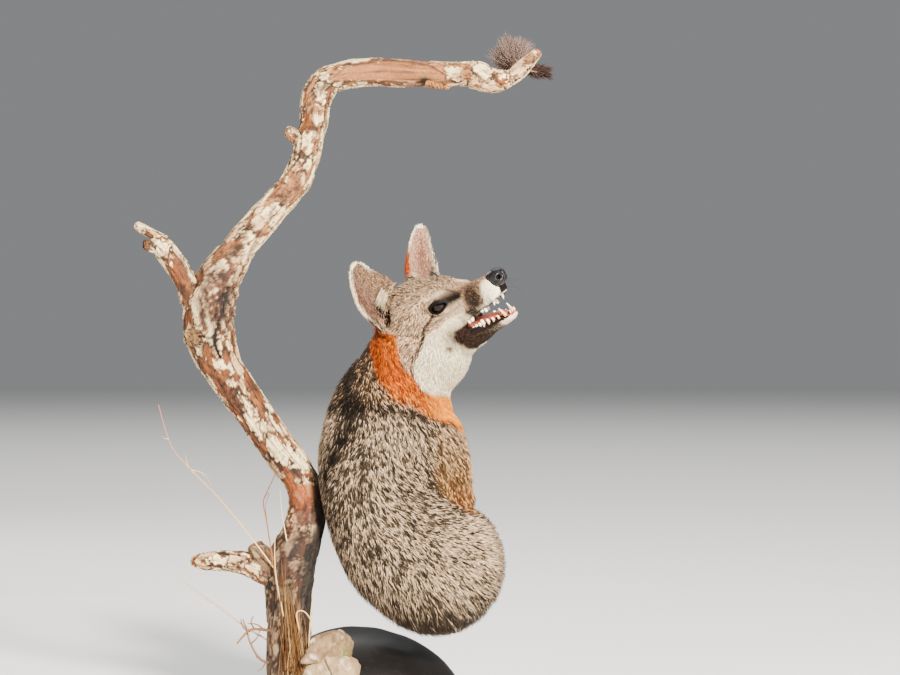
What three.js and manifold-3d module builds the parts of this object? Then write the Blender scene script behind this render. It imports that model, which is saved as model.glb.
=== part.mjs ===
// A gray fox half mount, life size: head, neck and trunk closed by a round furred end, fixed by its
// back to a dead branch. The branch, a lump of sandstone, dry grass and stems stand on a dark mound,
// and a feather hangs at the branch's tip.
//
// Millimetres, +Z up. The origin is the middle of the mound's flat underside. The fox's chest is
// towards +X and its right flank towards -Y.

import * as THREE from 'three';
import { mergeVertices } from 'three/addons/utils/BufferGeometryUtils.js';
import Module from 'manifold-3d';

const wasm = await Module();
wasm.setup();

// ---- Driving dimensions -------------------------------------------------------------------------

const GAP = 0.3; // clearance where two pieces meet
const FOX_PLANE_Y = -55; // the plane that halves the fox, in front of the mound's middle

const BODY_SIDES = 20; // corners in a section of the fox
const WOOD_SIDES = 10; // corners in a section of the branch

// Head: the middle of the line between the eyes, and how the head is held.
const HEAD_PLACE = [91.3, -30, 393.1];
const HEAD_TURN = 45.5; // degrees that the nose turns towards the fox's right flank
const HEAD_RAISE = 17.8; // degrees that the nose points up
const HEAD_TILT = 25.2; // degrees that the crown leans to the fox's right
const EYE_RADIUS = 8;
const EYE_OUT = 17; // from the head's middle plane to the eye's centre
const LID_OUT = 26.5; // from the same plane to the middle of the opening between the lids
const LID_HALF = [10.5, 7, 6.2]; // half length, half depth and half height of that opening
const NOSE_HALF = [7.2, 8.6, 7.2]; // half length, half width and half height of the nose pad
const NOSE_FORWARD = 58.6; // from the head's middle to the nose pad's centre

// Mound: a dome that is steeper on the branch's side, with a foot that runs out to the floor.
const MOUND_CROWN = 90;
const MOUND_RADIUS = 110; // of the arc that its right outline follows
const MOUND_LEFT = 90;
const MOUND_DEEP = 95;
const MOUND_FOOT = 16;
const MOUND_FOOT_HIGH = 42;

// ---- Solids from rows of sections ---------------------------------------------------------------

// A smooth row through the stations (Catmull-Rom): u counts stations, each station is a list of numbers.
function between(stations, u) {
  const last = stations.length - 1;
  const i = Math.min(Math.floor(u), last - 1);
  const t = u - i;
  const a = stations[Math.max(i - 1, 0)];
  const b = stations[i];
  const c = stations[i + 1];
  const d = stations[Math.min(i + 2, last)];
  const smooth = (k) => 0.5 * (2 * b[k] + (c[k] - a[k]) * t
    + (2 * a[k] - 5 * b[k] + 4 * c[k] - d[k]) * t * t
    + (3 * b[k] - a[k] - 3 * c[k] + d[k]) * t * t * t);
  return b.map((value, k) => smooth(k));
}

// The closed body through equal rings of points, with a fan to a pole at each end.
function bodyThrough(rings, startPole, endPole) {
  const sides = rings[0].length;
  const points = [...rings.flat(), startPole, endPole];
  const start = points.length - 2;
  const end = points.length - 1;
  const lastRing = (rings.length - 1) * sides;
  const faces = [];
  for (let j = 0; j < sides; j++) {
    const next = (j + 1) % sides;
    faces.push(start, next, j, end, lastRing + j, lastRing + next);
    for (let row = 0; row < lastRing; row += sides) {
      faces.push(row + j, row + next, row + sides + next);
      faces.push(row + j, row + sides + next, row + sides + j);
    }
  }
  const geometry = new THREE.BufferGeometry();
  geometry.setAttribute('position', new THREE.Float32BufferAttribute(points.flatMap((p) => p.toArray()), 3));
  geometry.setIndex(faces);
  return geometry;
}

const signedPower = (value, power) => Math.sign(value) * Math.abs(value) ** power;

// A limb swept along its path. A station is x, y, z, half width in the fox's plane, half depth in Y.
// square is the section's superellipse exponent, caps are the lengths of the round ends, from and to
// say which stretch of stations is used, and relief(angle, u) swells or thins the section.
function sweep(stations, options) {
  const { rings: count, sides, square = 2, caps = [0, 0], grow = 0, relief = () => 1 } = options;
  const { from = 0, to = stations.length - 1, trim = 0 } = options;
  const spot = (u) => new THREE.Vector3(...between(stations, u));
  const frameAt = (u) => {
    const ahead = spot(Math.min(u + 0.02, stations.length - 1));
    const forward = ahead.sub(spot(Math.max(u - 0.02, 0))).normalize();
    const side = new THREE.Vector3(0, 1, 0).addScaledVector(forward, -forward.y).normalize();
    return { forward, side, up: new THREE.Vector3().crossVectors(forward, side) };
  };
  const ringAt = (u, scale, shift) => {
    const { forward, side, up } = frameAt(u);
    const [x, y, z, wide, deep] = between(stations, u);
    const centre = new THREE.Vector3(x, y, z).addScaledVector(forward, shift);
    return Array.from({ length: sides }, (_, j) => {
      const angle = (2 * Math.PI * j) / sides;
      const swell = relief(angle, u) * scale;
      return centre.clone()
        .addScaledVector(side, (deep * swell + grow) * signedPower(Math.cos(angle), 2 / square))
        .addScaledVector(up, (wide * swell + grow) * signedPower(Math.sin(angle), 2 / square));
    });
  };
  const poleAt = (u, shift) => spot(u).addScaledVector(frameAt(u).forward, shift);

  const rings = [];
  const capSteps = [0.9, 0.7, 0.4]; // parts of the round end's length that get a ring
  const roundness = (part) => Math.sqrt(1 - part * part);
  if (caps[0] > 0) capSteps.forEach((part) => rings.push(ringAt(from, roundness(part), -part * caps[0])));
  for (let i = 0; i < count; i++) {
    const u = from + ((to - from) * i) / (count - 1);
    const shift = i === 0 ? trim : i === count - 1 ? -trim : 0;
    rings.push(ringAt(u, 1, shift));
  }
  capSteps.reverse();
  if (caps[1] > 0) capSteps.forEach((part) => rings.push(ringAt(to, roundness(part), part * caps[1])));
  return bodyThrough(rings, poleAt(from, trim - caps[0] - grow), poleAt(to, caps[1] - trim + grow));
}

// ---- Joining and cutting ------------------------------------------------------------------------

function toSolid(geometry) {
  const bare = geometry.clone();
  bare.deleteAttribute('normal');
  bare.deleteAttribute('uv');
  const merged = mergeVertices(bare, 1e-4);
  return new wasm.Manifold(new wasm.Mesh({
    numProp: 3,
    vertProperties: new Float32Array(merged.attributes.position.array),
    triVerts: new Uint32Array(merged.index.array),
  }));
}

function toGeometry(solid) {
  const mesh = solid.getMesh();
  const geometry = new THREE.BufferGeometry();
  geometry.setAttribute('position', new THREE.Float32BufferAttribute(mesh.vertProperties, 3));
  geometry.setIndex([...mesh.triVerts]);
  return geometry;
}

const joined = (...solids) => solids.reduce((whole, piece) => whole.add(piece));
const without = (solid, ...cutters) => cutters.reduce((rest, cutter) => rest.subtract(cutter), solid);

// The side of a plane that its normal points to, less half the gap, as one big block.
function beyond(point, normal) {
  const reach = 600;
  const block = new THREE.BoxGeometry(reach, reach, reach).translate(0, 0, reach / 2 + GAP / 2);
  const way = normal.clone().normalize();
  const turn = new THREE.Quaternion().setFromUnitVectors(new THREE.Vector3(0, 0, 1), way);
  return toSolid(block.applyQuaternion(turn).translate(...point));
}

// A plane seen edge on from the fox's right flank, through a point, falling by slope towards +X.
function planeAcross(x, z, slope) {
  const up = new THREE.Vector3(slope, 0, 1);
  return { above: beyond([x, 0, z], up), below: beyond([x, 0, z], up.clone().negate()) };
}

function ellipsoid([x, y, z], [a, b, c], turns = 12, rows = 8) {
  return new THREE.SphereGeometry(1, turns, rows).scale(a, b, c).translate(x, y, z);
}

// ---- The group and its materials ----------------------------------------------------------------

const group = new THREE.Group();
const mount = new THREE.Group(); // all that is drawn about the fox's own plane
mount.position.y = FOX_PLANE_Y;
group.add(mount);

const finish = (color, roughness, metalness = 0) => ({ color, roughness, metalness });
const GREY_COAT = finish(0x8d8172, 0.95);
const PALE_COAT = finish(0xe9dcc0, 0.95);
const ORANGE_COAT = finish(0xd07a35, 0.95);
const TAN_COAT = finish(0xab8a5c, 0.95);
const EAR_SKIN = finish(0xc9a184, 0.9);
const NOSE_SKIN = finish(0x1d1a1a, 0.45);
const EYE_GLASS = finish(0x1a0f08, 0.08);
const TONGUE_SKIN = finish(0xb45a50, 0.4);
const BARK = finish(0xb9a58c, 0.9);
const BARE_WOOD = finish(0xb08c66, 0.8);
const STONE = finish(0xc9b48e, 0.95);
const MOUND_FINISH = finish(0x352d27, 0.3);
const DOWN = finish(0x9c9088, 1);
const VANE = finish(0x2c2930, 0.8);
const STRAW = finish(0xb5935a, 0.85);

function addPiece(name, geometry, look, parent = mount) {
  const mesh = new THREE.Mesh(geometry, new THREE.MeshStandardMaterial(look));
  mesh.name = name;
  parent.add(mesh);
}

// ---- Head frame ---------------------------------------------------------------------------------

// Forward to the nose, left and up, from the three angles that say how the head is held.
function headMatrix() {
  const turn = THREE.MathUtils.degToRad(HEAD_TURN);
  const raise = THREE.MathUtils.degToRad(HEAD_RAISE);
  const tilt = THREE.MathUtils.degToRad(HEAD_TILT);
  const forward = new THREE.Vector3(
    Math.cos(raise) * Math.cos(turn),
    -Math.cos(raise) * Math.sin(turn),
    Math.sin(raise),
  );
  const level = new THREE.Vector3(Math.sin(turn), Math.cos(turn), 0);
  const left = level.applyAxisAngle(forward, tilt);
  const up = new THREE.Vector3().crossVectors(forward, left);
  return new THREE.Matrix4().makeBasis(forward, left, up).setPosition(...HEAD_PLACE);
}
const HEAD_FRAME = headMatrix();
const inHead = (geometry) => geometry.applyMatrix4(HEAD_FRAME);

// A body lofted along the head's forward axis. A station is forward, top, widest level, bottom,
// half width: egg-shaped sections whose upper and lower halves have their own heights.
function loftHead(stations, { rings: count, sides, square = 2, grow = 0, noseEnd = 3, backEnd = 3 }) {
  const ringAt = (u, scale, shift) => {
    const [forward, top, level, bottom, wide] = between(stations, u);
    return Array.from({ length: sides }, (_, j) => {
      const angle = (2 * Math.PI * j) / sides;
      const lift = signedPower(Math.sin(angle), 2 / square);
      const height = (lift > 0 ? top - level : level - bottom) * scale + grow;
      const across = (wide * scale + grow) * signedPower(Math.cos(angle), 2 / square);
      return new THREE.Vector3(forward + shift, across, level + height * lift);
    });
  };
  const last = stations.length - 1;
  const pole = (u, shift) => {
    const [forward, , level] = between(stations, u);
    return new THREE.Vector3(forward + shift, 0, level);
  };
  const rings = [ringAt(0, 0.45, -backEnd * 0.9), ringAt(0, 0.8, -backEnd * 0.6)];
  for (let i = 0; i < count; i++) rings.push(ringAt((last * i) / (count - 1), 1, 0));
  rings.push(ringAt(last, 0.8, noseEnd * 0.6), ringAt(last, 0.45, noseEnd * 0.9));
  return inHead(bodyThrough(rings, pole(0, -backEnd - grow), pole(last, noseEnd + grow)));
}

// ---- Head, jaw, nose, eyes, tongue and teeth ----------------------------------------------------

// Skull with cheeks and upper jaw, from the back of the head to the nose, out to the coat's tips.
const SKULL = [
  [-70, 2, -18, -46, 33],
  [-60, 17, -18, -60, 42],
  [-46, 26, -17, -62, 47],
  [-30, 27, -15, -59, 46],
  [-14, 23.5, -11, -54, 40],
  [-2, 17.5, -9, -45, 32],
  [10, 11.5, -9, -27, 23],
  [24, 9, -8, -21.5, 16.5],
  [38, 7.8, -7, -19, 13.5],
  [52, 7, -5, -15, 11.5],
  [58, 6, -4, -11.5, 9],
];

// Lower jaw, from under the cheek to the chin, held open.
const JAW = [
  [2, -26, -36, -50, 21],
  [14, -29, -37, -46.5, 17],
  [28, -31, -38, -45.5, 13],
  [42, -32, -37, -43, 10],
  [52, -32.5, -36, -41, 8.5],
];

const TONGUE = [
  [4, -24, -27.5, -32, 9],
  [20, -26, -28, -32.5, 8],
  [36, -28.5, -30, -33.5, 6.5],
];

// A tooth is a four-sided cone from its root to its point, in the head's frame.
function tooth([forward, left, up], [tipForward, tipUp], radius) {
  const root = new THREE.Vector3(forward, left, up);
  const point = new THREE.Vector3(tipForward, left * 0.96, tipUp);
  const length = root.distanceTo(point);
  const cone = new THREE.ConeGeometry(radius, length, 4).translate(0, length / 2, 0);
  const turn = new THREE.Quaternion().setFromUnitVectors(
    new THREE.Vector3(0, 1, 0),
    point.clone().sub(root).normalize(),
  );
  return toSolid(inHead(cone.applyQuaternion(turn).translate(root.x, root.y, root.z)));
}

// Teeth of one jaw: a canine on each side and a row of cheek teeth behind it.
function teethOf({ canine, canineTip, rowFrom, rowTo, count, height }) {
  const teeth = [];
  for (const side of [-1, 1]) {
    teeth.push(tooth([canine[0], side * canine[1], canine[2]], canineTip, 1.9));
    for (let i = 0; i < count; i++) {
      const share = count === 1 ? 0 : i / (count - 1);
      const [forward, left, up] = rowFrom.map((value, k) => value + (rowTo[k] - value) * share);
      teeth.push(tooth([forward, side * left, up], [forward, up + height], 1.9));
    }
  }
  return teeth;
}
const UPPER_TEETH = {
  canine: [54.5, 7.2, -8.5], canineTip: [57.5, -18.5],
  rowFrom: [47, 7.6, -12.5], rowTo: [29, 10.5, -16.5], count: 3, height: -7,
};
const LOWER_TEETH = {
  canine: [48, 5.6, -35], canineTip: [46.5, -24.5],
  rowFrom: [41, 6.6, -35.5], rowTo: [16, 12.5, -34], count: 4, height: 6,
};

// Ear: a cup that opens forwards and narrows to a round tip. A station is forward, out, up, half
// width and cup depth, from the base to the tip. The chords run from the outer to the inner edge.
const EAR = [
  [-45.5, 28.5, 15, 25, 17],
  [-46, 36, 30, 24, 15],
  [-45.5, 42.5, 44, 20, 11],
  [-42, 46.5, 56, 15, 7],
  [-38, 49, 64.5, 9.5, 4],
  [-36, 49.5, 68.5, 5, 2.8],
];
const EAR_CHORD_BASE = [7, -35, 34];
const EAR_CHORD_TIP = [0, -32, 9];
const EAR_THICK = 2.6;

// filled closes the cup from edge to edge, which is the room that the ear takes from the neck.
function ear(side, { grow = 0, filled = false } = {}) {
  const mirrored = ([forward, out, up]) => new THREE.Vector3(forward, side * out, up);
  const chordBase = mirrored(EAR_CHORD_BASE).normalize();
  const chordTip = mirrored(EAR_CHORD_TIP).normalize();
  const axis = mirrored(EAR.at(-1)).sub(mirrored(EAR[0])).normalize();
  const across = 5; // steps over the cup's front, and as many over its back
  const last = EAR.length - 1;
  const rings = [];
  for (let u = 0; u <= last; u += 0.5) {
    const [forward, out, up, half, depth] = between(EAR, u);
    const chord = chordBase.clone().lerp(chordTip, u / last).normalize();
    const back = new THREE.Vector3().crossVectors(axis, chord).normalize().multiplyScalar(-side);
    const centre = mirrored([forward, out, up]);
    const onCup = (s, reach) => centre.clone()
      .addScaledVector(chord, s * (half + grow))
      .addScaledVector(back, reach * Math.sqrt(1 - s * s) - depth * 0.3);
    const ring = [];
    for (let j = 0; j < 2 * across; j++) {
      const s = -Math.cos((Math.PI * j) / across);
      const inner = filled ? -grow : Math.max(depth - EAR_THICK, 0.2);
      ring.push(onCup(s, j < across ? depth + grow : inner));
    }
    rings.push(side > 0 ? ring : ring.reverse());
  }
  const tip = mirrored(EAR.at(-1)).addScaledVector(axis, 2);
  return inHead(bodyThrough(rings, mirrored(EAR[0]), tip));
}

// ---- Neck and trunk -----------------------------------------------------------------------------

// Stations are x, y, z, half width, half depth, from the head down, out to the coat's tips.
const NECK = [
  [69, -3, 378, 32, 38],
  [66.5, -2, 350, 47.5, 46],
  [54, 0, 328, 46, 47],
  [49, 0, 306, 46, 48],
  [45, 0, 280, 50, 51],
];
const BACK = [
  [41, 2, 330, 30, 34],
  [28, 1, 297, 43, 48],
  [22, 0, 256, 50.5, 54],
  [27, 0, 218, 54.5, 57],
  [46, 0, 182, 62.5, 60],
  [75, 0, 155, 63, 61],
];
const BACK_END = 64; // length of the round furred end
const CHEST = [
  [46, 0, 318, 45, 47],
  [40, 0, 288, 55.5, 52],
  [44, 0, 262, 61.5, 51],
  [50, 0, 236, 62, 45],
  [57, 0, 212, 57, 38],
  [63, 0, 196, 51, 34],
];
const CHEST_END = 26;
// Where the neck ends and where the round rear end starts: x, z and the fall towards +X.
const COLLAR = [45, 291, 0.18];
const WAIST = [82, 227, 0.23];

const bodySweep = (stations, rings, square, caps, grow = 0) =>
  toSolid(sweep(stations, { rings, sides: BODY_SIDES, square, caps, grow }));

// ---- Branch -------------------------------------------------------------------------------------

// Stations are x, y, z, half width, half depth, from the mound to the tip.
const BRANCH = [
  [-52, -4, 18, 23, 22],
  [-54, -4, 60, 20.5, 20],
  [-55, 0, 110, 20, 20],
  [-54, 4, 150, 22, 21],
  [-43, 8, 182, 18.5, 18],
  [-39, 11, 208, 16.5, 16.5],
  [-45, 12, 230, 16, 16],
  [-68, 12, 261, 16.5, 16],
  [-92, 10, 296, 16.5, 16],
  [-115, 5, 331, 18.5, 18],
  [-126, 0, 362, 22.5, 20],
  [-123, -1, 398, 22, 20],
  [-102.5, 2, 435, 15.5, 15.5],
  [-73.5, 9, 471, 13.5, 13],
  [-47.5, 13, 503, 13, 12.6],
  [-35, 9, 545, 12.8, 12.6],
  [-30, 6, 575, 13.5, 13],
  [-16, 6, 591.5, 12.5, 12],
  [20, 3, 597, 12.6, 11],
  [66, -4, 594, 11.8, 11],
  [99, -9, 593.5, 10.8, 10.5],
  [114, -12, 592, 13, 12],
  [126, -14, 588, 11.5, 10],
  [144, -13, 589.5, 7.2, 7.5],
  [158, -10, 602.5, 6, 6],
  [168, -8, 613.5, 4.2, 4.4],
];
// Where one length ends and the next begins, counted in stations.
const BRANCH_LENGTHS = {
  branch_foot: [0, 3],
  branch_bend: [3, 6],
  branch_lower: [6, 9.4],
  branch_crotch: [9.4, 12.3],
  branch_upper: [12.3, 15.4],
  branch_elbow: [15.4, 17.5],
  branch_arm: [17.5, 20.5],
  branch_tip: [20.5, 25],
};
const barkRelief = (angle, u) =>
  1 + 0.05 * Math.sin(3 * angle + 2.3 * u) + 0.035 * Math.sin(5 * angle - 4.1 * u);

function branchLength([from, to], grow = 0, trim = GAP / 2) {
  const rings = Math.round((to - from) * 2) + 2;
  const caps = to === BRANCH.length - 1 ? [0, 2.5] : [0, 0];
  return toSolid(sweep(BRANCH, {
    rings, sides: WOOD_SIDES, square: 2.2, caps, grow, relief: barkRelief, from, to, trim: caps[1] ? 0 : trim,
  }));
}

// Limbs, stubs and snags: stations as above, and the length of the round end.
const LIMBS = {
  limb_left: {
    end: 1.5,
    path: [[-127, -2, 366, 16, 14], [-139, -4, 390, 12, 12], [-150, -7, 414, 10.4, 10],
      [-163, -10, 433, 10.6, 10], [-171, -12, 443, 8.4, 8], [-174, -12, 446, 6, 6]],
  },
  limb_low: {
    end: 2.5,
    path: [[-56, 2, 142, 13, 14], [-74, 1, 146, 12.5, 12], [-92, -2, 154, 11, 10.5],
      [-112, -6, 158, 9.8, 9.6], [-130, -9, 157.5, 8, 8], [-140, -11, 158, 4.6, 5]],
  },
  knob_low: {
    end: 1.5,
    path: [[-72, 0, 152, 12, 11], [-82, -3, 165, 10, 9], [-85, -4, 172, 7, 7]],
  },
  knot_cut: { end: 0, path: [[-130, -6, 358, 9, 9], [-137, -16, 358, 8.4, 8.4], [-141, -24, 358, 7.8, 7.8]] },
  knot_high: { end: 1.2, path: [[-40, 8, 533, 8.5, 8.5], [-50, 6, 539, 6.6, 6.6], [-57, 4, 544.5, 5, 5]] },
};

// What the upper limb ends in: a broken round stub and a short pale twig, by station as above.
const LIMB_ENDS = {
  knob_left: { end: 1, path: [[-166, -12, 440, 6.5, 6], [-177, -17, 440, 6.4, 6], [-183, -20, 441, 5, 5]] },
  twig_left: { end: 2, path: [[-165, -9, 444, 5, 4.5], [-178, -11, 451, 4, 4], [-190, -12, 458, 3.4, 3.4]] },
};

// ---- Mound --------------------------------------------------------------------------------------

// Rings from the crown down: an arc of MOUND_RADIUS, drawn in on the left and the deep sides, that
// ends in a foot which runs out to the floor.
function mound(shiftY = 0, grow = 0) {
  const turns = 24;
  const rows = 7;
  const dip = MOUND_CROWN - MOUND_RADIUS;
  const steepest = Math.acos(-dip / MOUND_RADIUS);
  const rings = [];
  for (let i = 1; i <= rows; i++) {
    const slope = (steepest * i) / rows;
    const height = Math.max(dip + MOUND_RADIUS * Math.cos(slope), 0);
    const foot = MOUND_FOOT * Math.max(1 - height / MOUND_FOOT_HIGH, 0) ** 2;
    rings.push(Array.from({ length: turns }, (_, j) => {
      const angle = (-2 * Math.PI * j) / turns;
      const right = (1 + Math.cos(angle)) / 2;
      const reachX = (MOUND_LEFT + (MOUND_RADIUS - MOUND_LEFT) * right) * Math.sin(slope) + foot + grow;
      const reachY = MOUND_DEEP * Math.sin(slope) + foot + grow;
      return new THREE.Vector3(reachX * Math.cos(angle), shiftY + reachY * Math.sin(angle), height + grow);
    }));
  }
  for (const point of rings.at(-1)) point.z = 0;
  const pole = (z) => new THREE.Vector3(0, shiftY, z);
  return bodyThrough(rings, pole(MOUND_CROWN + grow), pole(0));
}

// ---- Stone --------------------------------------------------------------------------------------

// A lump with soft edges between flat faces: the distance out is the power mean of the planes that
// bound it. A face is a direction and a distance.
function lump(centre, faces, turns = 14, rows = 9, softness = 10) {
  const sphere = new THREE.SphereGeometry(1, turns, rows);
  const place = sphere.attributes.position;
  const planes = faces.map(([x, y, z, out]) => new THREE.Vector3(x, y, z).normalize().divideScalar(out));
  for (let i = 0; i < place.count; i++) {
    const way = new THREE.Vector3().fromBufferAttribute(place, i).normalize();
    const sum = planes.reduce((total, plane) => total + Math.max(plane.dot(way), 0) ** softness, 0);
    way.divideScalar(sum ** (1 / softness));
    place.setXYZ(i, way.x, way.y, way.z);
  }
  return sphere.translate(...centre);
}

// The stone's lower and upper lump, joined. A face is x, y, z of its direction and its distance.
const STONE_LOWER = {
  centre: [-14, -22, 38],
  faces: [[1, -0.1, 0.05, 25], [-1, 0, 0, 28], [0.1, 0.1, 1, 38], [-0.15, -1, 0.2, 22], [0, 1, 0, 26],
    [0, 0, -1, 34], [1, -1, 0.3, 31], [0.8, 0, 1, 42], [-0.8, -0.6, 1, 40]],
};
const STONE_UPPER = {
  centre: [-19, -17, 82],
  faces: [[1, -0.3, -0.1, 18], [-1, 0, 0.5, 17], [-0.25, 0.1, 1, 13], [0.1, -1, 0.3, 14], [0, 1, 0, 18],
    [0, 0, -1, 14], [0.9, 0, 1, 19], [-0.5, -0.7, 1, 17]],
};

// ---- Feather, grass and stems -------------------------------------------------------------------

const DOWN_CENTRE = [147, 7, 614.5];
const DOWN_HALF = [24.5, 17, 20.5];

// A tuft of down: an ellipsoid with a slightly lobed surface.
function down(grow = 0) {
  const ball = ellipsoid([0, 0, 0], [1, 1, 1], 13, 8);
  const place = ball.attributes.position;
  const way = new THREE.Vector3();
  for (let i = 0; i < place.count; i++) {
    way.fromBufferAttribute(place, i);
    const lobes = 1 + 0.05 * Math.sin(5 * way.x + 4 * way.z) + 0.04 * Math.cos(7 * way.z - 3 * way.x);
    place.setXYZ(i, ...DOWN_HALF.map((half, k) => way.getComponent(k) * (half * lobes + grow)));
  }
  return ball.translate(...DOWN_CENTRE);
}

// The feather's dark vane: a thin blade with a ragged outer edge.
const VANE_OUTLINE = [
  [154, 607], [168, 608], [174, 603], [178, 598], [183, 589], [172, 588.5], [160, 588], [155, 592],
];
const VANE_THICK = 1.6;
const VANE_Y = 8;

function vane() {
  const shape = new THREE.Shape(VANE_OUTLINE.map(([x, z]) => new THREE.Vector2(x, z)));
  const blade = new THREE.ExtrudeGeometry(shape, { depth: VANE_THICK, bevelEnabled: false, steps: 1 });
  return blade.rotateX(Math.PI / 2).translate(0, VANE_Y, 0);
}

// A round stem along a smooth path.
function stem(path, radius, steps) {
  const section = new THREE.Shape();
  section.absarc(0, 0, radius, 0, 2 * Math.PI);
  const curve = new THREE.CatmullRomCurve3(path.map((p) => new THREE.Vector3(...p)));
  return new THREE.ExtrudeGeometry(section, {
    extrudePath: curve, steps, curveSegments: 3, bevelEnabled: false,
  });
}

const GRASS = [
  [-50, -25, 36, 11, 5],
  [-45, -27, 70, 12, 5],
  [-45, -26, 100, 9, 4],
  [-48, -24, 128, 4, 3],
];
const STEMS = {
  stem_long: {
    radius: 0.7, steps: 8,
    path: [[-66, -14, 150], [-86, -20, 178], [-114, -24, 213], [-140, -26, 240], [-155, -26, 257],
      [-162, -26, 273], [-169, -26, 298]],
  },
  stem_red: {
    radius: 0.6, steps: 7,
    path: [[-66, -18, 146], [-73, -22, 193], [-76, -22, 211], [-72, -22, 222], [-65, -22, 237]],
  },
  stem_fine: { radius: 0.5, steps: 4, path: [[-56, -12, 176], [-60, -14, 200], [-62, -14, 222]] },
  stem_low: { radius: 0.6, steps: 6, path: [[-70, -6, 84], [-94, -8, 99], [-121, -12, 120], [-153, -16, 144]] },
  twig_upper: { radius: 1, steps: 5, path: [[-66, -14, 95], [-86, -22, 98], [-94, -25, 92], [-99, -26, 86]] },
  twig_lower: {
    radius: 1, steps: 6,
    path: [[-64, -12, 66], [-79, -15, 70], [-88, -15, 84], [-92, -14, 97], [-95, -15, 106]],
  },
};

// ---- Assembly -----------------------------------------------------------------------------------

const skullOptions = { rings: 11, sides: 20, square: 2.2, noseEnd: 1, backEnd: 12 };
const jawOptions = { rings: 7, sides: 12, square: 2.3, noseEnd: 5, backEnd: 6 };
const skull = toSolid(loftHead(SKULL, skullOptions));
const skullGrown = toSolid(loftHead(SKULL, { ...skullOptions, grow: GAP }));
const skullSeat = toSolid(loftHead(SKULL, { ...skullOptions, grow: 2 * GAP })); // under the ears
const jawForm = toSolid(loftHead(JAW, jawOptions));
const jawGrown = toSolid(loftHead(JAW, { ...jawOptions, grow: GAP }));

const noseCentre = [NOSE_FORWARD, 0, 0];
const nose = toSolid(inHead(ellipsoid(noseCentre, NOSE_HALF)));
const noseSeat = toSolid(inHead(ellipsoid(noseCentre, NOSE_HALF.map((half) => half + GAP))));
const eyeBall = (side, radius) =>
  toSolid(inHead(ellipsoid([0, side * EYE_OUT, 0], [radius, radius, radius], 10, 7)));
const lidOpening = (side) => toSolid(inHead(ellipsoid([0, side * LID_OUT, 0], LID_HALF, 10, 6)));

const upperTeeth = teethOf(UPPER_TEETH);
const lowerTeeth = teethOf(LOWER_TEETH);
const sockets = [-1, 1].flatMap((side) => [eyeBall(side, EYE_RADIUS + GAP), lidOpening(side)]);
const head = joined(without(skull, noseSeat, ...sockets), ...upperTeeth);
const jaw = joined(without(jawForm, skullGrown), ...lowerTeeth);
const tongueForm = toSolid(loftHead(TONGUE, { rings: 4, sides: 8, noseEnd: 5, backEnd: 3 }));
const tongue = without(tongueForm, skullGrown, jawGrown, ...lowerTeeth);
const ears = { right: toSolid(ear(-1)), left: toSolid(ear(1)) };

addPiece('head', toGeometry(head), GREY_COAT);
addPiece('nose', toGeometry(nose), NOSE_SKIN);
addPiece('lower_jaw', toGeometry(jaw), PALE_COAT);
addPiece('tongue', toGeometry(tongue), TONGUE_SKIN);
addPiece('eye_right', toGeometry(eyeBall(-1, EYE_RADIUS)), EYE_GLASS);
addPiece('eye_left', toGeometry(eyeBall(1, EYE_RADIUS)), EYE_GLASS);
addPiece('ear_right', toGeometry(without(ears.right, skullSeat)), EAR_SKIN);
addPiece('ear_left', toGeometry(without(ears.left, skullSeat)), EAR_SKIN);

const branchGrown = joined(...Object.values(BRANCH_LENGTHS).map((span) => branchLength(span, GAP, -GAP)));
const moundGrown = toSolid(mound(-FOX_PLANE_Y, GAP));

const collar = planeAcross(...COLLAR);
const waist = planeAcross(...WAIST);
const backForm = (grow) => bodySweep(BACK, 10, 2.5, [20, BACK_END], grow);
const back = backForm(0);
const backGrown = backForm(GAP);
const chest = bodySweep(CHEST, 8, 2.2, [16, CHEST_END]);
const neck = bodySweep(NECK, 8, 2.1, [26, 8]);
const earRooms = [-1, 1].map((side) => toSolid(ear(side, { grow: GAP, filled: true })));
const neckPiece = joined(neck, back, chest).intersect(collar.above);

addPiece('neck', toGeometry(without(neckPiece, skullGrown, jawGrown, ...earRooms)), ORANGE_COAT);
const trunk = without(back, branchGrown);
addPiece('shoulders', toGeometry(trunk.intersect(collar.below).intersect(waist.above)), GREY_COAT);
addPiece('chest', toGeometry(without(chest, backGrown).intersect(collar.below)), TAN_COAT);
addPiece('rear_body', toGeometry(trunk.intersect(waist.below)), GREY_COAT);

for (const [name, span] of Object.entries(BRANCH_LENGTHS)) {
  const whole = branchLength(span);
  addPiece(name, toGeometry(name === 'branch_foot' ? without(whole, moundGrown) : whole), BARK);
}
// The limbs are cut by the branch, and what grows on the upper limb by that limb as well.
const limb = ({ path, end }, grow = 0) => toSolid(sweep(path, {
  rings: path.length + 1, sides: 8, caps: [0, end], relief: barkRelief, grow,
}));
for (const [name, row] of Object.entries(LIMBS)) {
  const taken = name === 'knob_low' ? [branchGrown, limb(LIMBS.limb_low, GAP)] : [branchGrown];
  addPiece(name, toGeometry(without(limb(row), ...taken)), BARE_WOOD);
}
const upperLimbGrown = limb(LIMBS.limb_left, GAP);
addPiece('knob_left', toGeometry(without(limb(LIMB_ENDS.knob_left), upperLimbGrown)), BARE_WOOD);
addPiece(
  'twig_left',
  toGeometry(without(limb(LIMB_ENDS.twig_left), upperLimbGrown, limb(LIMB_ENDS.knob_left, GAP))),
  BARE_WOOD,
);

const stone = joined(...[STONE_LOWER, STONE_UPPER].map(({ centre, faces }) => toSolid(lump(centre, faces))));
addPiece('stone', toGeometry(without(stone, moundGrown, branchGrown)), STONE);
addPiece('mound', mound(), MOUND_FINISH, group);

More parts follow.
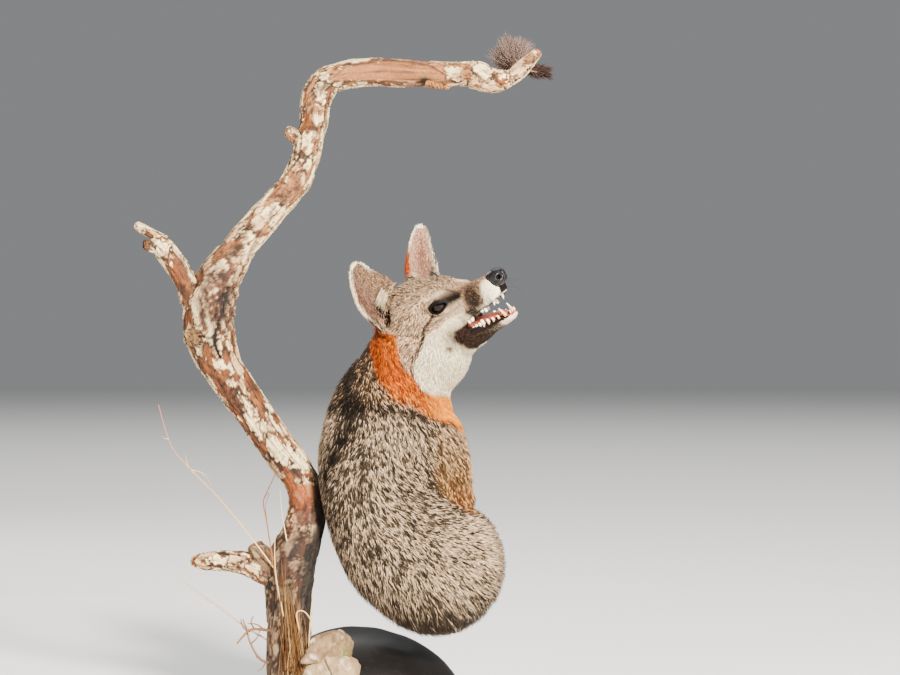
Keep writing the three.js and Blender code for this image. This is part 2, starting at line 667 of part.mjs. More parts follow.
const downGrown = toSolid(down(GAP));
addPiece('feather_down', toGeometry(without(toSolid(down()), branchGrown)), DOWN);
addPiece('feather_vane', toGeometry(without(toSolid(vane()), downGrown, branchGrown)), VANE);
const grass = toSolid(sweep(GRASS, { rings: 5, sides: 9, caps: [0, 8] }));
addPiece('grass_tuft', toGeometry(without(grass, branchGrown, moundGrown, stone)), STRAW);
for (const [name, { path, radius, steps }] of Object.entries(STEMS)) {
  addPiece(name, toGeometry(without(toSolid(stem(path, radius, steps)), branchGrown)), STRAW);
}

export default group;
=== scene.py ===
"""A gray fox half mount on a dead branch, with its dark mound, stone, dry grass and feather."""
import math

import bpy
import numpy as np
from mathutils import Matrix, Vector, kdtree


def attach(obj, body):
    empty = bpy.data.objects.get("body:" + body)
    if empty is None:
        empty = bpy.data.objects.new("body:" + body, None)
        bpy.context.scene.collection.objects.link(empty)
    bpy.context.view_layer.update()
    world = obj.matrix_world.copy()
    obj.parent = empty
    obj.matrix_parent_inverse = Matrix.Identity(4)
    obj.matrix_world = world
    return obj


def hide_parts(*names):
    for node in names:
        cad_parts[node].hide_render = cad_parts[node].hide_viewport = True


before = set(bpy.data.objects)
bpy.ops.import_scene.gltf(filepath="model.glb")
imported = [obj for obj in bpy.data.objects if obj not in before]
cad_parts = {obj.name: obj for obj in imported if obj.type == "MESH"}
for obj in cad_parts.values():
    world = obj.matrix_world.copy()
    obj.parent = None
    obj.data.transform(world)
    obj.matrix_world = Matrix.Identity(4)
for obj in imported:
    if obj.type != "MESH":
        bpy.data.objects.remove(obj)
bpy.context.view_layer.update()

# ---- Camera, floor and lamps --------------------------------------------------------------------
# A level camera looks at the fox's right flank. The floor is plain and pale. The key lamp stands in
# front on the right, weak ones in front and behind on the left, and a large one hangs high behind.

CAMERA_PLACE = (0.090, -2.055, 0.35775)
FIELD_WIDTH = 0.810  # what the frame spans at the fox's plane
FIELD_DISTANCE = 2.0
SENSOR_WIDTH = 36.0

camera_data = bpy.data.cameras.new("camera")
camera_data.sensor_width = SENSOR_WIDTH
camera_data.lens = SENSOR_WIDTH * FIELD_DISTANCE / FIELD_WIDTH
camera = bpy.data.objects.new("camera", camera_data)
camera.location = CAMERA_PLACE
camera.rotation_euler = (math.radians(90), 0, 0)
bpy.context.scene.collection.objects.link(camera)
bpy.context.scene.camera = camera


def painted(red, green, blue):
    """A colour said in display values from 0 to 255, as the linear red, green and blue of a shader."""
    display = np.array([red, green, blue], float) / 255
    return np.where(display <= 0.04045, display / 12.92, ((display + 0.055) / 1.055) ** 2.4)


def soft_lamp(name, place, size, power, colour):
    """A square area lamp that faces the middle of the mount."""
    lamp_data = bpy.data.lights.new(name, "AREA")
    lamp_data.size = size
    lamp_data.energy = power
    lamp_data.color = colour
    lamp = bpy.data.objects.new(name, lamp_data)
    lamp.location = place
    aim = Vector((0.05, -0.05, 0.32)) - lamp.location
    lamp.rotation_euler = aim.to_track_quat("-Z", "Y").to_euler()
    bpy.context.scene.collection.objects.link(lamp)


soft_lamp("lamp_key", (1.25, -2.7, 1.75), 0.5, 560, (1.0, 0.94, 0.86))
soft_lamp("lamp_front", (-1.6, -2.4, 1.1), 0.6, 30, (1.0, 0.97, 0.93))
soft_lamp("lamp_rim", (-1.2, 1.4, 1.4), 0.8, 24, (1.0, 0.97, 0.94))
soft_lamp("lamp_high", (0.0, 3.0, 7.0), 6.0, 460, (1.0, 0.99, 0.97))

world = bpy.data.worlds.new("room")
world.use_nodes = True
world.node_tree.nodes["Background"].inputs["Color"].default_value = (0.90, 0.92, 0.95, 1)
world.node_tree.nodes["Background"].inputs["Strength"].default_value = 0.26
bpy.context.scene.world = world


def joined(material, node, values, wires):
    """Sets constant values on a node's own sockets, and joins other nodes' outputs to its inputs."""
    for socket, value in values.items():
        node.inputs[socket].default_value = value
    for socket, output in wires.items():
        material.node_tree.links.new(output, node.inputs[socket])
    return node


def finish_like(name, values, base=None):
    """A principled material, new or copied from another one, with the shader's constant values."""
    material = base.copy() if base else bpy.data.materials.new(name)
    material.name = name
    material.use_nodes = True
    joined(material, material.node_tree.nodes["Principled BSDF"], values, {})
    return material


def add_mesh(name, points, triangles, material, colours=None):
    """Makes a mesh object from points in metres and triangles, as whole arrays."""
    mesh = bpy.data.meshes.new(name)
    mesh.vertices.add(len(points))
    mesh.vertices.foreach_set("co", np.ascontiguousarray(points, np.float32).ravel())
    mesh.loops.add(3 * len(triangles))
    mesh.loops.foreach_set("vertex_index", np.ascontiguousarray(triangles, np.int32).ravel())
    mesh.polygons.add(len(triangles))
    mesh.polygons.foreach_set("loop_start", np.arange(0, 3 * len(triangles), 3, dtype=np.int32))
    mesh.polygons.foreach_set("use_smooth", np.ones(len(triangles), bool))
    mesh.update(calc_edges=True)
    if colours is not None:
        layer = mesh.color_attributes.new("paint", "FLOAT_COLOR", "POINT")
        full = np.ones((len(points), 4), np.float32)
        full[:, :3] = colours
        layer.data.foreach_set("color", full.ravel())
    mesh.materials.append(material)
    piece = bpy.data.objects.new(name, mesh)
    bpy.context.scene.collection.objects.link(piece)
    return piece


FLOOR_HALF = 14.0
floor = add_mesh(
    "floor",
    FLOOR_HALF * np.array([(-1, -1, 0), (1, -1, 0), (1, 1, 0), (-1, 1, 0)], float),
    np.array([(0, 1, 2), (0, 2, 3)]),
    finish_like("floor_paper", {"Base Color": (0.82, 0.82, 0.81, 1), "Roughness": 0.9}),
)

# ---- Skin ---------------------------------------------------------------------------------------
# One skin covers head, ears, neck, trunk and the round rear end, drawn over the form that carries it
# and sewn shut. It lies under the coat by the coat's depth. Sizes are millimetres about the fox's own
# plane, and the head's are forward, left and up from the middle of the line between the eyes.

MM = 0.001
FOX_PLANE = np.array([0.0, -55.0, 0.0])
HEAD_PLACE = np.array([91.3, -30.0, 393.1])
HEAD_TURN, HEAD_RAISE, HEAD_TILT = np.radians([45.5, 17.8, 25.2])
EYE_OUT = 17.0
EYE_RADIUS = 8.0


def head_axes():
    """Forward, left and up of the head: turned, then raised, then leant over about its forward axis."""
    forward = np.array([
        math.cos(HEAD_RAISE) * math.cos(HEAD_TURN),
        -math.cos(HEAD_RAISE) * math.sin(HEAD_TURN),
        math.sin(HEAD_RAISE),
    ])
    level = np.array([math.sin(HEAD_TURN), math.cos(HEAD_TURN), 0.0])
    left = level * math.cos(HEAD_TILT) + np.cross(forward, level) * math.sin(HEAD_TILT)
    return np.array([forward, left, np.cross(forward, left)])


HEAD_AXES = head_axes()


def from_head(places):
    """Head places to the fox's own frame."""
    return HEAD_PLACE + np.asarray(places, float) @ HEAD_AXES


def to_head(points):
    """The fox's own frame to head places."""
    return (points - HEAD_PLACE) @ HEAD_AXES.T


def metres(points):
    """The fox's own frame, in millimetres, to the model's frame in metres."""
    return (points + FOX_PLANE) * MM


def fitted(name, points, triangles, material, colours, slot, *replaced):
    """Adds a still piece in the fox's frame, which takes the place of its nodes."""
    piece = add_mesh(name, metres(points), triangles, material, colours)
    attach(piece, "root")
    if replaced:
        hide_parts(*replaced)
    return piece


def along(stations, u):
    """A smooth row through the stations (Catmull-Rom) at every place u, counted in stations."""
    rows = np.asarray(stations, float)
    last = len(rows) - 1
    i = np.clip(np.floor(u).astype(int), 0, last - 1)
    t = (u - i)[:, None]
    a, b, c, d = rows[np.maximum(i - 1, 0)], rows[i], rows[i + 1], rows[np.minimum(i + 2, last)]
    return 0.5 * (2 * b + (c - a) * t + (2 * a - 5 * b + 4 * c - d) * t**2 + (3 * b - a - 3 * c + d) * t**3)


def power(value, exponent):
    """A power that keeps the sign."""
    return np.sign(value) * np.abs(value) ** exponent


def facing_out(points, triangles):
    """The triangles, turned round where the volume inside them comes out negative.

    It is a sixth of the sum of the triangles' triple products about the points' mean.
    """
    a, b, c = (points[triangles[:, n]] - points.mean(axis=0) for n in range(3))
    return triangles if np.einsum("ij,ij->i", a, np.cross(b, c)).sum() > 0 else triangles[:, ::-1]


def closed(grid, start, end):
    """The closed surface through a grid of rings, with a fan to a pole at each end."""
    rings, sides, _ = grid.shape
    points = np.vstack([grid.reshape(-1, 3), start, end])
    j = np.arange(sides)
    k = (j + 1) % sides
    row = (np.arange(rings - 1) * sides)[:, None]
    first = np.stack([row + j, row + k, row + sides + k], -1).reshape(-1, 3)
    second = np.stack([row + j, row + sides + k, row + sides + j], -1).reshape(-1, 3)
    tail = (rings - 1) * sides
    poles = len(points) - 2
    start_fan = np.stack([np.full(sides, poles), k, j], -1)
    end_fan = np.stack([np.full(sides, poles + 1), tail + j, tail + k], -1)
    return points, facing_out(points, np.vstack([first, second, start_fan, end_fan]))


def together(*pieces):
    """Several surfaces as one: points stacked, and each one's triangles moved up to match."""
    starts = np.cumsum([0] + [len(points) for points, _ in pieces[:-1]])
    return (
        np.vstack([points for points, _ in pieces]),
        np.vstack([triangles + start for (_, triangles), start in zip(pieces, starts)]),
    )


def swept(stations, rings, sides, square, caps, inset=0.0):
    """A limb along its path: superellipse sections set across the path, with elliptic round ends.

    A station is x, y, z, half width in the fox's plane and half depth.
    """
    last = len(stations) - 1
    u = np.linspace(0, last, rings)
    cap_part = np.sin(np.linspace(0.06, 0.97, 9) * np.pi / 2)
    u_all = np.concatenate([np.zeros(9) if caps[0] else [], u, np.full(9, last) if caps[1] else []])
    shift = np.concatenate([
        -cap_part[::-1] * (caps[0] - inset) if caps[0] else [], np.zeros(rings),
        cap_part * (caps[1] - inset) if caps[1] else [],
    ])
    scale = np.concatenate([
        np.sqrt(1 - cap_part[::-1] ** 2) if caps[0] else [], np.ones(rings),
        np.sqrt(1 - cap_part**2) if caps[1] else [],
    ])
    here = along(stations, u_all)
    ahead = along(stations, np.minimum(u_all + 0.02, last))[:, :3]
    behind = along(stations, np.maximum(u_all - 0.02, 0))[:, :3]
    forward = ahead - behind
    forward /= np.linalg.norm(forward, axis=1, keepdims=True)
    side = np.array([0, 1.0, 0]) - forward * forward[:, 1:2]
    side /= np.linalg.norm(side, axis=1, keepdims=True)
    up = np.cross(forward, side)
    centre = here[:, :3] + forward * shift[:, None]
    angle = np.linspace(0, 2 * np.pi, sides, endpoint=False)
    wide = ((here[:, 3] - inset) * scale)[:, None, None]
    deep = ((here[:, 4] - inset) * scale)[:, None, None]
    across = power(np.cos(angle), 2 / square)[None, :, None]
    above = power(np.sin(angle), 2 / square)[None, :, None]
    grid = centre[:, None] + side[:, None] * deep * across + up[:, None] * wide * above
    start = here[0, :3] - forward[0] * max(caps[0] - inset, 0)
    end = here[-1, :3] + forward[-1] * max(caps[1] - inset, 0)
    return closed(grid, start, end)


# Forward, top, widest level, bottom, half width, and the coat's depth there.
SKULL = [
    [-70, 16, -18, -46, 33, 3.6], [-60, 29, -18, -60, 42, 3.5], [-46, 32.5, -17, -62, 47, 3.3],
    [-30, 29.5, -15, -59, 46, 3.0], [-14, 24, -11, -54, 40, 2.6], [-2, 17.2, -9, -45, 32, 2.0],
    [10, 10.2, -9, -27, 23, 1.3], [17, 6.8, -8.5, -24, 19.0, 1.1], [24, 5.7, -8, -21.5, 16.5, 0.9],
    [38, 5.2, -7, -19, 13.5, 0.7],
    [52, 5.6, -5, -16.8, 11.3, 0.6], [57.2, 4.8, -4.5, -14.8, 9.0, 0.6],
]
JAW = [
    [2, -26, -36, -51.2, 21, 1.1], [14, -29, -37, -48.0, 17, 0.9], [28, -31, -38, -44.6, 13, 0.8],
    [42, -32, -37, -42.6, 10, 0.6], [52, -32.5, -36, -41.0, 8.5, 0.6],
]
NECK = [
    [69, -3, 378, 34, 38], [65.5, -2, 350, 47, 46], [48.5, 0, 328, 40.5, 47], [47.5, 0, 306, 44.5, 48],
    [45, 0, 280, 50, 51],
]
BACK = [
    [38, 2, 330, 33, 35], [26.5, 1, 297, 44.5, 48], [21.5, 0, 256, 51.5, 54], [27, 0, 218, 54.5, 57],
    [46, 0, 182, 62.0, 59.5], [74, 0, 155, 61, 59],
]
BACK_END = 63
CHEST = [
    [46, 0, 318, 45, 47], [40, 0, 288, 55.5, 52], [44, 0, 262, 61.5, 51], [50, 0, 236, 62, 45],
    [58, 0, 212, 58, 38], [66, 0, 196, 52, 34],
]
CHEST_END = 26
NECK_COAT, BACK_COAT, CHEST_COAT = 3.6, 4.6, 4.2


def lofted_head(stations, rings, sides, square, nose_end, back_end):
    """Egg-shaped sections along the head's forward axis, each less the coat's depth, closed by domes."""
    last = len(stations) - 1
    part = np.sin(np.linspace(0.08, 0.96, 8) * np.pi / 2)
    u = np.concatenate([np.zeros(8), np.linspace(0, last, rings), np.full(8, last)])
    shift = np.concatenate([-part[::-1] * back_end, np.zeros(rings), part * nose_end])
    scale = np.concatenate([np.sqrt(1 - part[::-1] ** 2), np.ones(rings), np.sqrt(1 - part**2)])
    forward, top, level, bottom, wide, depth = along(stations, u).T
    angle = np.linspace(0, 2 * np.pi, sides, endpoint=False)
    lift = power(np.sin(angle), 2 / square)[None]
    above = ((top - level - depth) * scale)[:, None]
    below = ((level - bottom - depth) * scale)[:, None]
    height = level[:, None] + np.where(lift > 0, above, below) * lift
    across = ((wide - depth) * scale)[:, None] * power(np.cos(angle), 2 / square)[None]
    grid = np.stack([np.broadcast_to((forward + shift)[:, None], height.shape), across, height], -1)
    start = [forward[0] - back_end, 0, level[0]]
    end = [forward[-1] + nose_end, 0, level[-1]]
    points, triangles = closed(grid, start, end)
    return from_head(points), triangles


# Forward, out, up, half width and cup depth, from the ear's base to its tip.
EAR = [
    [-45.5, 28.5, 15, 25, 17], [-46, 36, 30, 24, 15], [-45.5, 42.5, 44, 20, 11], [-42, 46.5, 56, 15, 7],
    [-38, 49, 64.5, 9.5, 4], [-36, 49.5, 68.5, 5, 2.8],
]
EAR_CHORD_BASE = np.array([7.0, -35, 34])
EAR_CHORD_TIP = np.array([0.0, -32, 9])
EAR_THICK = 2.3
EAR_BASE_DIP = 6.0  # how far the cup runs on into the head
# The right ear is turned to the side and is wider at its inner edge; the left one is folded narrower.
EAR_INNER = {-1: [3, 1.5, 1, 0.5, 0, 0], 1: [-2, -3.5, -4, -3, -1.5, 0]}
EAR_TRIM = {-1: [0, 0, -1, -1.5, -2, -1], 1: [3, 3, 2.5, 2, 1, 0]}
EAR_SWELL = {-1: [3, 3, 2.5, 1.8, 1.0, 0.4], 1: [7, 5.5, 2.0, 0.5, 0, 0]}  # how much fuller each back is
EAR_EDGE = 1.0  # half of the edges' thickness
LEFT_EAR_DROP = 0.6


def ear_surface(side, u, s, depth_share):
    """Points of an ear's cup: u runs from base to tip in stations, s from the outer edge -1 to the inner 1.

    The cup is half an ellipse over the chord, as deep as the station and its swell, or less the skin
    where depth_share is 0. Its edges are EAR_EDGE thicker to both sides.
    """
    mirror = np.array([1.0, side, 1.0])
    last = len(EAR) - 1
    forward, out, up, half, depth = along(EAR, u).T
    centre = np.stack([forward, out, up - LEFT_EAR_DROP * u * (side > 0)], -1) * mirror
    base_chord = EAR_CHORD_BASE * mirror / np.linalg.norm(EAR_CHORD_BASE)
    tip_chord = EAR_CHORD_TIP * mirror / np.linalg.norm(EAR_CHORD_TIP)
    chord = base_chord + (tip_chord - base_chord) * (u / last)[:, None]
    chord /= np.linalg.norm(chord, axis=1, keepdims=True)
    axis = (np.array(EAR[-1][:3]) - np.array(EAR[0][:3])) * mirror
    back = np.cross(axis / np.linalg.norm(axis), chord)
    back *= -side / np.linalg.norm(back, axis=1, keepdims=True)
    swell = np.interp(u, range(last + 1), EAR_SWELL[side])
    cup = np.where(depth_share > 0, depth + swell, np.maximum(depth - EAR_THICK, 0.2))
    lift = cup * np.sqrt(np.maximum(1 - s**2, 0)) - 0.3 * depth
    lift = lift + EAR_EDGE * s**4 * np.where(depth_share > 0, 1, -1)
    wider = np.interp(u, range(last + 1), EAR_INNER[side]) * np.maximum(s, 0)
    wider = wider + np.interp(u, range(last + 1), EAR_TRIM[side]) * np.maximum(-s, 0)
    return centre + chord * (s * (half - 0.3) + wider)[:, None] + back * lift[:, None]


EAR_RINGS, EAR_ACROSS = 46, 26


def ear(side):
    """An ear as a closed cup: its back from edge to edge, then its front back again."""
    last = len(EAR) - 1
    u = np.linspace(0, last, EAR_RINGS)
    turn = np.arange(2 * EAR_ACROSS)
    s = -np.cos(np.pi * turn / EAR_ACROSS)
    share = np.where(turn < EAR_ACROSS, 1.0, 0.0)
    u, s = np.meshgrid(u, s, indexing="ij")
    grid = ear_surface(side, u.ravel(), s.ravel(), np.broadcast_to(share, u.shape).ravel())
    grid = grid.reshape(EAR_RINGS, 2 * EAR_ACROSS, 3)
    mirror = np.array([1.0, side, 1.0])
    tip = (np.array(EAR[-1][:3]) - [0, 0, LEFT_EAR_DROP * last * (side > 0)]) * mirror
    axis = tip - np.array(EAR[0][:3]) * mirror
    axis /= np.linalg.norm(axis)
    start = np.array(EAR[0][:3]) * mirror - axis * EAR_BASE_DIP
    points, triangles = closed(grid, start, tip + axis * 1.6)
    return from_head(points), triangles


skin_forms = together(
    lofted_head(SKULL, 90, 72, 2.2, 1.0, 10.0),
    lofted_head(JAW, 50, 48, 2.3, 4.4, 6.0),
    ear(-1),
    ear(1),
    swept(NECK, 50, 80, 2.1, (24, 8), NECK_COAT),
    swept(BACK, 70, 90, 2.35, (18, BACK_END), BACK_COAT),
    swept(CHEST, 50, 80, 2.2, (15, CHEST_END), CHEST_COAT),
)
form = add_mesh("skin_form", metres(skin_forms[0]), skin_forms[1], finish_like("skin_form", {}))
remesh = form.modifiers.new("one_skin", "REMESH")
remesh.mode = "VOXEL"
remesh.voxel_size = 1.4 * MM
remeshed = form.evaluated_get(bpy.context.evaluated_depsgraph_get()).to_mesh()
remeshed.calc_loop_triangles()
skin_points = np.empty(3 * len(remeshed.vertices), np.float32)
remeshed.vertices.foreach_get("co", skin_points)
skin_points = skin_points.reshape(-1, 3).astype(float) / MM - FOX_PLANE
skin_triangles = np.empty(3 * len(remeshed.loop_triangles), np.int32)
remeshed.loop_triangles.foreach_get("vertices", skin_triangles)
skin_triangles = skin_triangles.reshape(-1, 3)
form.to_mesh_clear()
bpy.data.objects.remove(form)


def neighbour_mean(values, edges):
    """The mean of each vertex's neighbours' values, over the mesh's edges."""
    total = np.zeros_like(values)
    count = np.bincount(edges.ravel(), minlength=len(values))
    for n in range(values.shape[1]):
        total[:, n] = (
            np.bincount(edges[:, 0], values[edges[:, 1], n], len(values))
            + np.bincount(edges[:, 1], values[edges[:, 0], n], len(values))
        )
    return total / np.maximum(count, 1)[:, None]


def edges_of(triangles):
    """Each edge of the triangles once."""
    pairs = np.sort(np.vstack([triangles[:, [0, 1]], triangles[:, [1, 2]], triangles[:, [2, 0]]]), axis=1)
    return np.unique(pairs, axis=0)


def vertex_normals(points, triangles):
    """Unit normals at the vertices, each the sum of its triangles' area normals."""
    a, b, c = (points[triangles[:, n]] for n in range(3))
    face = np.cross(b - a, c - a)
    normals = np.zeros_like(points)
    for n in range(3):
        for axis in range(3):
            normals[:, axis] += np.bincount(triangles[:, n], face[:, axis], len(points))
    return normals / np.maximum(np.linalg.norm(normals, axis=1, keepdims=True), 1e-12)


def soft(value, low, high):
    """A smooth step from 0 at low to 1 at high."""
    t = np.clip((value - low) / (high - low), 0, 1)
    return t * t * (3 - 2 * t)


def near(value, middle, half):
    """A smooth bump, 1 at the middle and 0 a half width away."""
    return np.exp(-((value - middle) / half) ** 2)


skin_edges = edges_of(skin_triangles)
skin_head = to_head(skin_points)
thin = soft(skin_head[:, 2], 14, 22) * soft(np.abs(skin_head[:, 1]), 20, 26)  # the ears' cups
fine = np.maximum(thin, soft(skin_head[:, 0], -2, 8) * 0.6)[:, None]
collar_zone = soft(skin_points[:, 2], 248, 278) * (1 - soft(skin_points[:, 2], 318, 350))
for turn in range(90):
    smoothed = neighbour_mean(skin_points, skin_edges)
    share = 0.5 * (1 - 0.9 * fine) if turn < 10 else 0.5 * collar_zone[:, None]
    skin_points = skin_points + (smoothed - skin_points) * share

# The orbit: the skin sinks to the eyeball around the eye and opens over it.
LID_FORWARD, LID_LENGTH = 1.3, 9.3
LID_ABOVE, LID_BELOW = 4.7, 4.7


def socket_out(forward, up):
    """How far out the eye's surroundings lie: an ellipsoid stretched along the head, over the eyeball."""
    inside = (EYE_RADIUS + 1.0) ** 2 - (0.72 * forward) ** 2 - up**2
    return EYE_OUT + np.sqrt(np.maximum(inside, 4))


def lid_reach(forward, up):
    """Below 1 inside the almond between the lids."""
    tall = np.where(up > 0, LID_ABOVE, LID_BELOW)
    return np.sqrt(((forward - LID_FORWARD) / LID_LENGTH) ** 2 + (np.abs(up) / tall) ** 1.6)


skin_head = to_head(skin_points)
forward, out, up = skin_head[:, 0], np.abs(skin_head[:, 1]), skin_head[:, 2]
around = np.sqrt(((forward - 1) / 1.5) ** 2 + up**2)
facing = soft(out, 10, 14)
sink = (1 - soft(around, 6.5, 15)) * facing
new_out = out + (socket_out(forward, up) - 0.3 - out) * sink
opening = (1 - soft(lid_reach(forward, up), 0.86, 1.02)) * facing
new_out = new_out + (EYE_OUT + 2.0 - new_out) * opening
brow = near(forward, 0, 7) * near(up, 9.5, 4) * soft(out, 8, 14)
pad = near(forward, 46, 9) * near(up, -9, 5) * soft(out, 3, 7)
hollow = near(forward, -48, 5) * near(up, 12, 8) * soft(out, 22, 30)
new_out = new_out + 0.8 * brow + 0.9 * pad - 3.0 * hollow
skin_head[:, 1] = np.sign(skin_head[:, 1]) * new_out

# The mouth's edges: rounded undersides become hanging lips with a vault between them.
LIP_SHARE = 0.80  # where the lip's inner side starts, as a share of the half width
VAULT, FLOOR_DIP, LIP_HANG = 5.0, 3.2, 1.4


def section_at(stations, forward):
    """The skull's or jaw's top, widest level, bottom and half width under the coat, along the head."""
    stops, top, level, bottom, wide, depth = np.array(stations).T
    rows = [top - depth, level, bottom + depth, wide - depth]
    return [np.interp(forward, stops, row) for row in rows]


def lip_profile(share):
    """How much farther out than the round section the lip's section reaches: boxy, with a dip inside."""
    share = np.clip(share, 0, 1)
    dip = np.maximum(1 - (share / LIP_SHARE) ** 2, 0)
    return (1 - share**9) ** (1 / 9) - (1 - share**2.2) ** (1 / 2.2), dip


_, level, bottom, wide = section_at(SKULL, forward)
boxy, dip = lip_profile(np.abs(skin_head[:, 1]) / wide)
under = soft(level - up, 1, 3) * soft(up - bottom, -3.4, -2.0) * soft(forward, 12, 20)
under *= 1 - soft(forward, 58.5, 60.5)
hang = LIP_HANG * soft(np.abs(skin_head[:, 1]) / wide, 0.6, 0.85) * (1 - soft(forward, 44, 56))
vault = VAULT * dip * (1 - soft(forward, 45, 52))
skin_head[:, 2] -= under * ((boxy * (level - bottom) + hang) * soft(level - up, 2, 6) - vault)
top, level, _, wide = section_at(JAW, forward)
boxy, dip = lip_profile(np.abs(skin_head[:, 1]) / wide)
over = soft(up - level, 0.5, 2) * (1 - soft(up - top, 1.6, 2.6)) * soft(forward, 10, 18)
over *= 1 - soft(forward, 51, 54)
skin_head[:, 2] += over * (boxy * (top - level) * soft(up - level, 1, 3) - FLOOR_DIP * dip)
skin_points = from_head(skin_head)
skin_normals = vertex_normals(skin_points, skin_triangles)
lie_normals = skin_normals.copy()
for _ in range(6):
    lie_normals = neighbour_mean(lie_normals, skin_edges)
lie_normals /= np.linalg.norm(lie_normals, axis=1, keepdims=True)

# ---- Coat: markings, lie and length -------------------------------------------------------------
# The hair is banded black and white on the trunk, rust on the collar and behind the ears, cream on
# the throat and short and tan on the face. It lies back from the nose, down the neck and fans out
# over the round rear end. The same markings are painted on the skin and on every tuft.

WHITE = painted(255, 242, 208)
WHITE_SHADE = painted(236, 210, 166)
CREAM = painted(246, 228, 196)
PALE_TAN = painted(222, 200, 166)
TAN = painted(196, 168, 132)
BLACK = painted(8, 5, 4)
BAND_PALE = painted(212, 182, 148)
BAND_DARK = painted(18, 12, 9)
RUMP_PALE = painted(232, 200, 162)
SPINE_PALE = painted(34, 24, 18)
RING_SHADE_PALE = painted(96, 74, 56)
RING_ABOVE = painted(196, 158, 118)
RUST = painted(200, 92, 8)
RUST_DEEP = painted(122, 38, 4)
COLLAR_GLOW = painted(232, 138, 34)
COLLAR_GOLD = painted(255, 166, 34)
COLLAR_AMBER = painted(232, 122, 16)
COLLAR_SHADE = painted(70, 24, 4)
OCHRE = painted(216, 168, 108)
OCHRE_DEEP = painted(92, 62, 34)
BREAST_CREAM = painted(240, 206, 158)
BREAST_TAN = painted(186, 142, 94)
FACE_PALE = painted(222, 186, 148)
FACE_DARK = painted(72, 50, 38)
CROWN_DARK = painted(52, 37, 28)
BRIDGE_PALE = painted(190, 154, 116)
BRIDGE_DARK = painted(120, 88, 62)
UNDER_EYE = painted(232, 208, 174)
PATCH_PALE = painted(98, 70, 52)
PATCH_DARK = painted(14, 9, 7)
TEAR_PALE = painted(20, 14, 12)
TEAR_DARK = painted(10, 7, 7)
CHIN_PALE = painted(240, 212, 190)
MUZZLE_BROWN = painted(84, 64, 52)
MUZZLE_DARK = painted(44, 31, 26)
LIP_BROWN = painted(84, 60, 46)
LIP_DARK = painted(20, 12, 10)
LIP_EDGE = painted(20, 12, 11)
MOUTH_PINK = painted(132, 56, 44)
MOUTH_SHADE = painted(60, 24, 20)
NOSE_SEAT = painted(16, 10, 9)
EAR_PINK = painted(108, 70, 56)
EAR_PALE = painted(208, 172, 142)
EAR_DARK = painted(108, 68, 50)
EAR_GREY = painted(176, 142, 108)
EAR_GREY_DARK = painted(50, 36, 28)
EAR_RUST = painted(196, 112, 40)
EAR_RUST_DARK = painted(120, 62, 22)
EAR_BACK_PALE = painted(196, 168, 134)
EAR_BACK_DARK = painted(140, 114, 88)
EAR_RIM = painted(252, 238, 208)
CANAL_SHADE_BLACK = painted(14, 8, 6)
CANAL_PLACE = [-48.5, 12.0]  # forward and up
EAR_PAINTED_SHADE = 0.48  # how much darker the right ear's front is painted

# Heights, and there the middle and half width of the trunk's outline and the spine's bearing.
TRUNK_HEIGHTS = [120, 148, 176, 204, 232, 260, 281, 303, 315, 329, 345]
TRUNK_MIDDLE = [71, 67, 59, 46, 42.5, 41, 38, 42, 50, 54, 66]
TRUNK_HALF = [53, 70, 74, 68, 68.6, 67, 59, 51, 48, 48, 49]
SPINE_BEARING = [186, 188, 190, 196, 213, 229, 232, 222, 205, 195, 188]
FLANK_DEPTH = 50.0
TO_MM = 0.95  # millimetres along the skin for each degree around the trunk


def folded(points):
    """A neck or trunk point turned about the upright middle line onto the fox's right side.

    The two sides mirror each other across the plane of spine and breastbone. Gives the place across
    the right side, the angle away from the spine, and which side the point was on.
    """
    x, y, z = points.T
    middle = np.interp(z, TRUNK_HEIGHTS, TRUNK_MIDDLE)
    half = np.interp(z, TRUNK_HEIGHTS, TRUNK_HALF)
    spine = np.interp(z, TRUNK_HEIGHTS, SPINE_BEARING)
    bearing = np.degrees(np.arctan2(y / FLANK_DEPTH, (x - middle) / half)) % 360
    away = (bearing - spine + 180) % 360 - 180
    shown = spine + np.abs(away)
    place = middle + half * np.where(shown < 360, np.cos(np.radians(shown)), 1.0)
    return place, np.abs(away), np.sign(away)


def ripple(points, size, seed, waves=9):
    """A smooth random field between about -1 and 1: plane waves of about the given size, summed."""
    source = np.random.default_rng(seed)
    ways = source.normal(size=(3, waves))
    ways *= source.uniform(0.6, 1.6, waves) * 2 * np.pi / (size * np.linalg.norm(ways, axis=0))
    return np.sin(points @ ways + source.uniform(0, 2 * np.pi, waves)).mean(axis=1) * 2.2


def line_distance(x, y, stations):
    """The distance of each place from a row of straight lines through the stations."""
    nearest = np.full(np.shape(x), 1e9)
    for (ax, ay), (bx, by) in zip(stations[:-1], stations[1:]):
        share = ((x - ax) * (bx - ax) + (y - ay) * (by - ay)) / ((bx - ax) ** 2 + (by - ay) ** 2)
        share = np.clip(share, 0, 1)
        nearest = np.minimum(nearest, np.hypot(x - ax - share * (bx - ax), y - ay - share * (by - ay)))
    return nearest


EAR_LOOK_U, EAR_LOOK_S, EAR_LOOK_FRONT = (
    look.ravel() for look in np.meshgrid(
        np.linspace(0, len(EAR) - 1, 30), -np.cos(np.linspace(0.02, 0.98, 17) * np.pi), [0.0, 1.0],
        indexing="ij",
    )
)


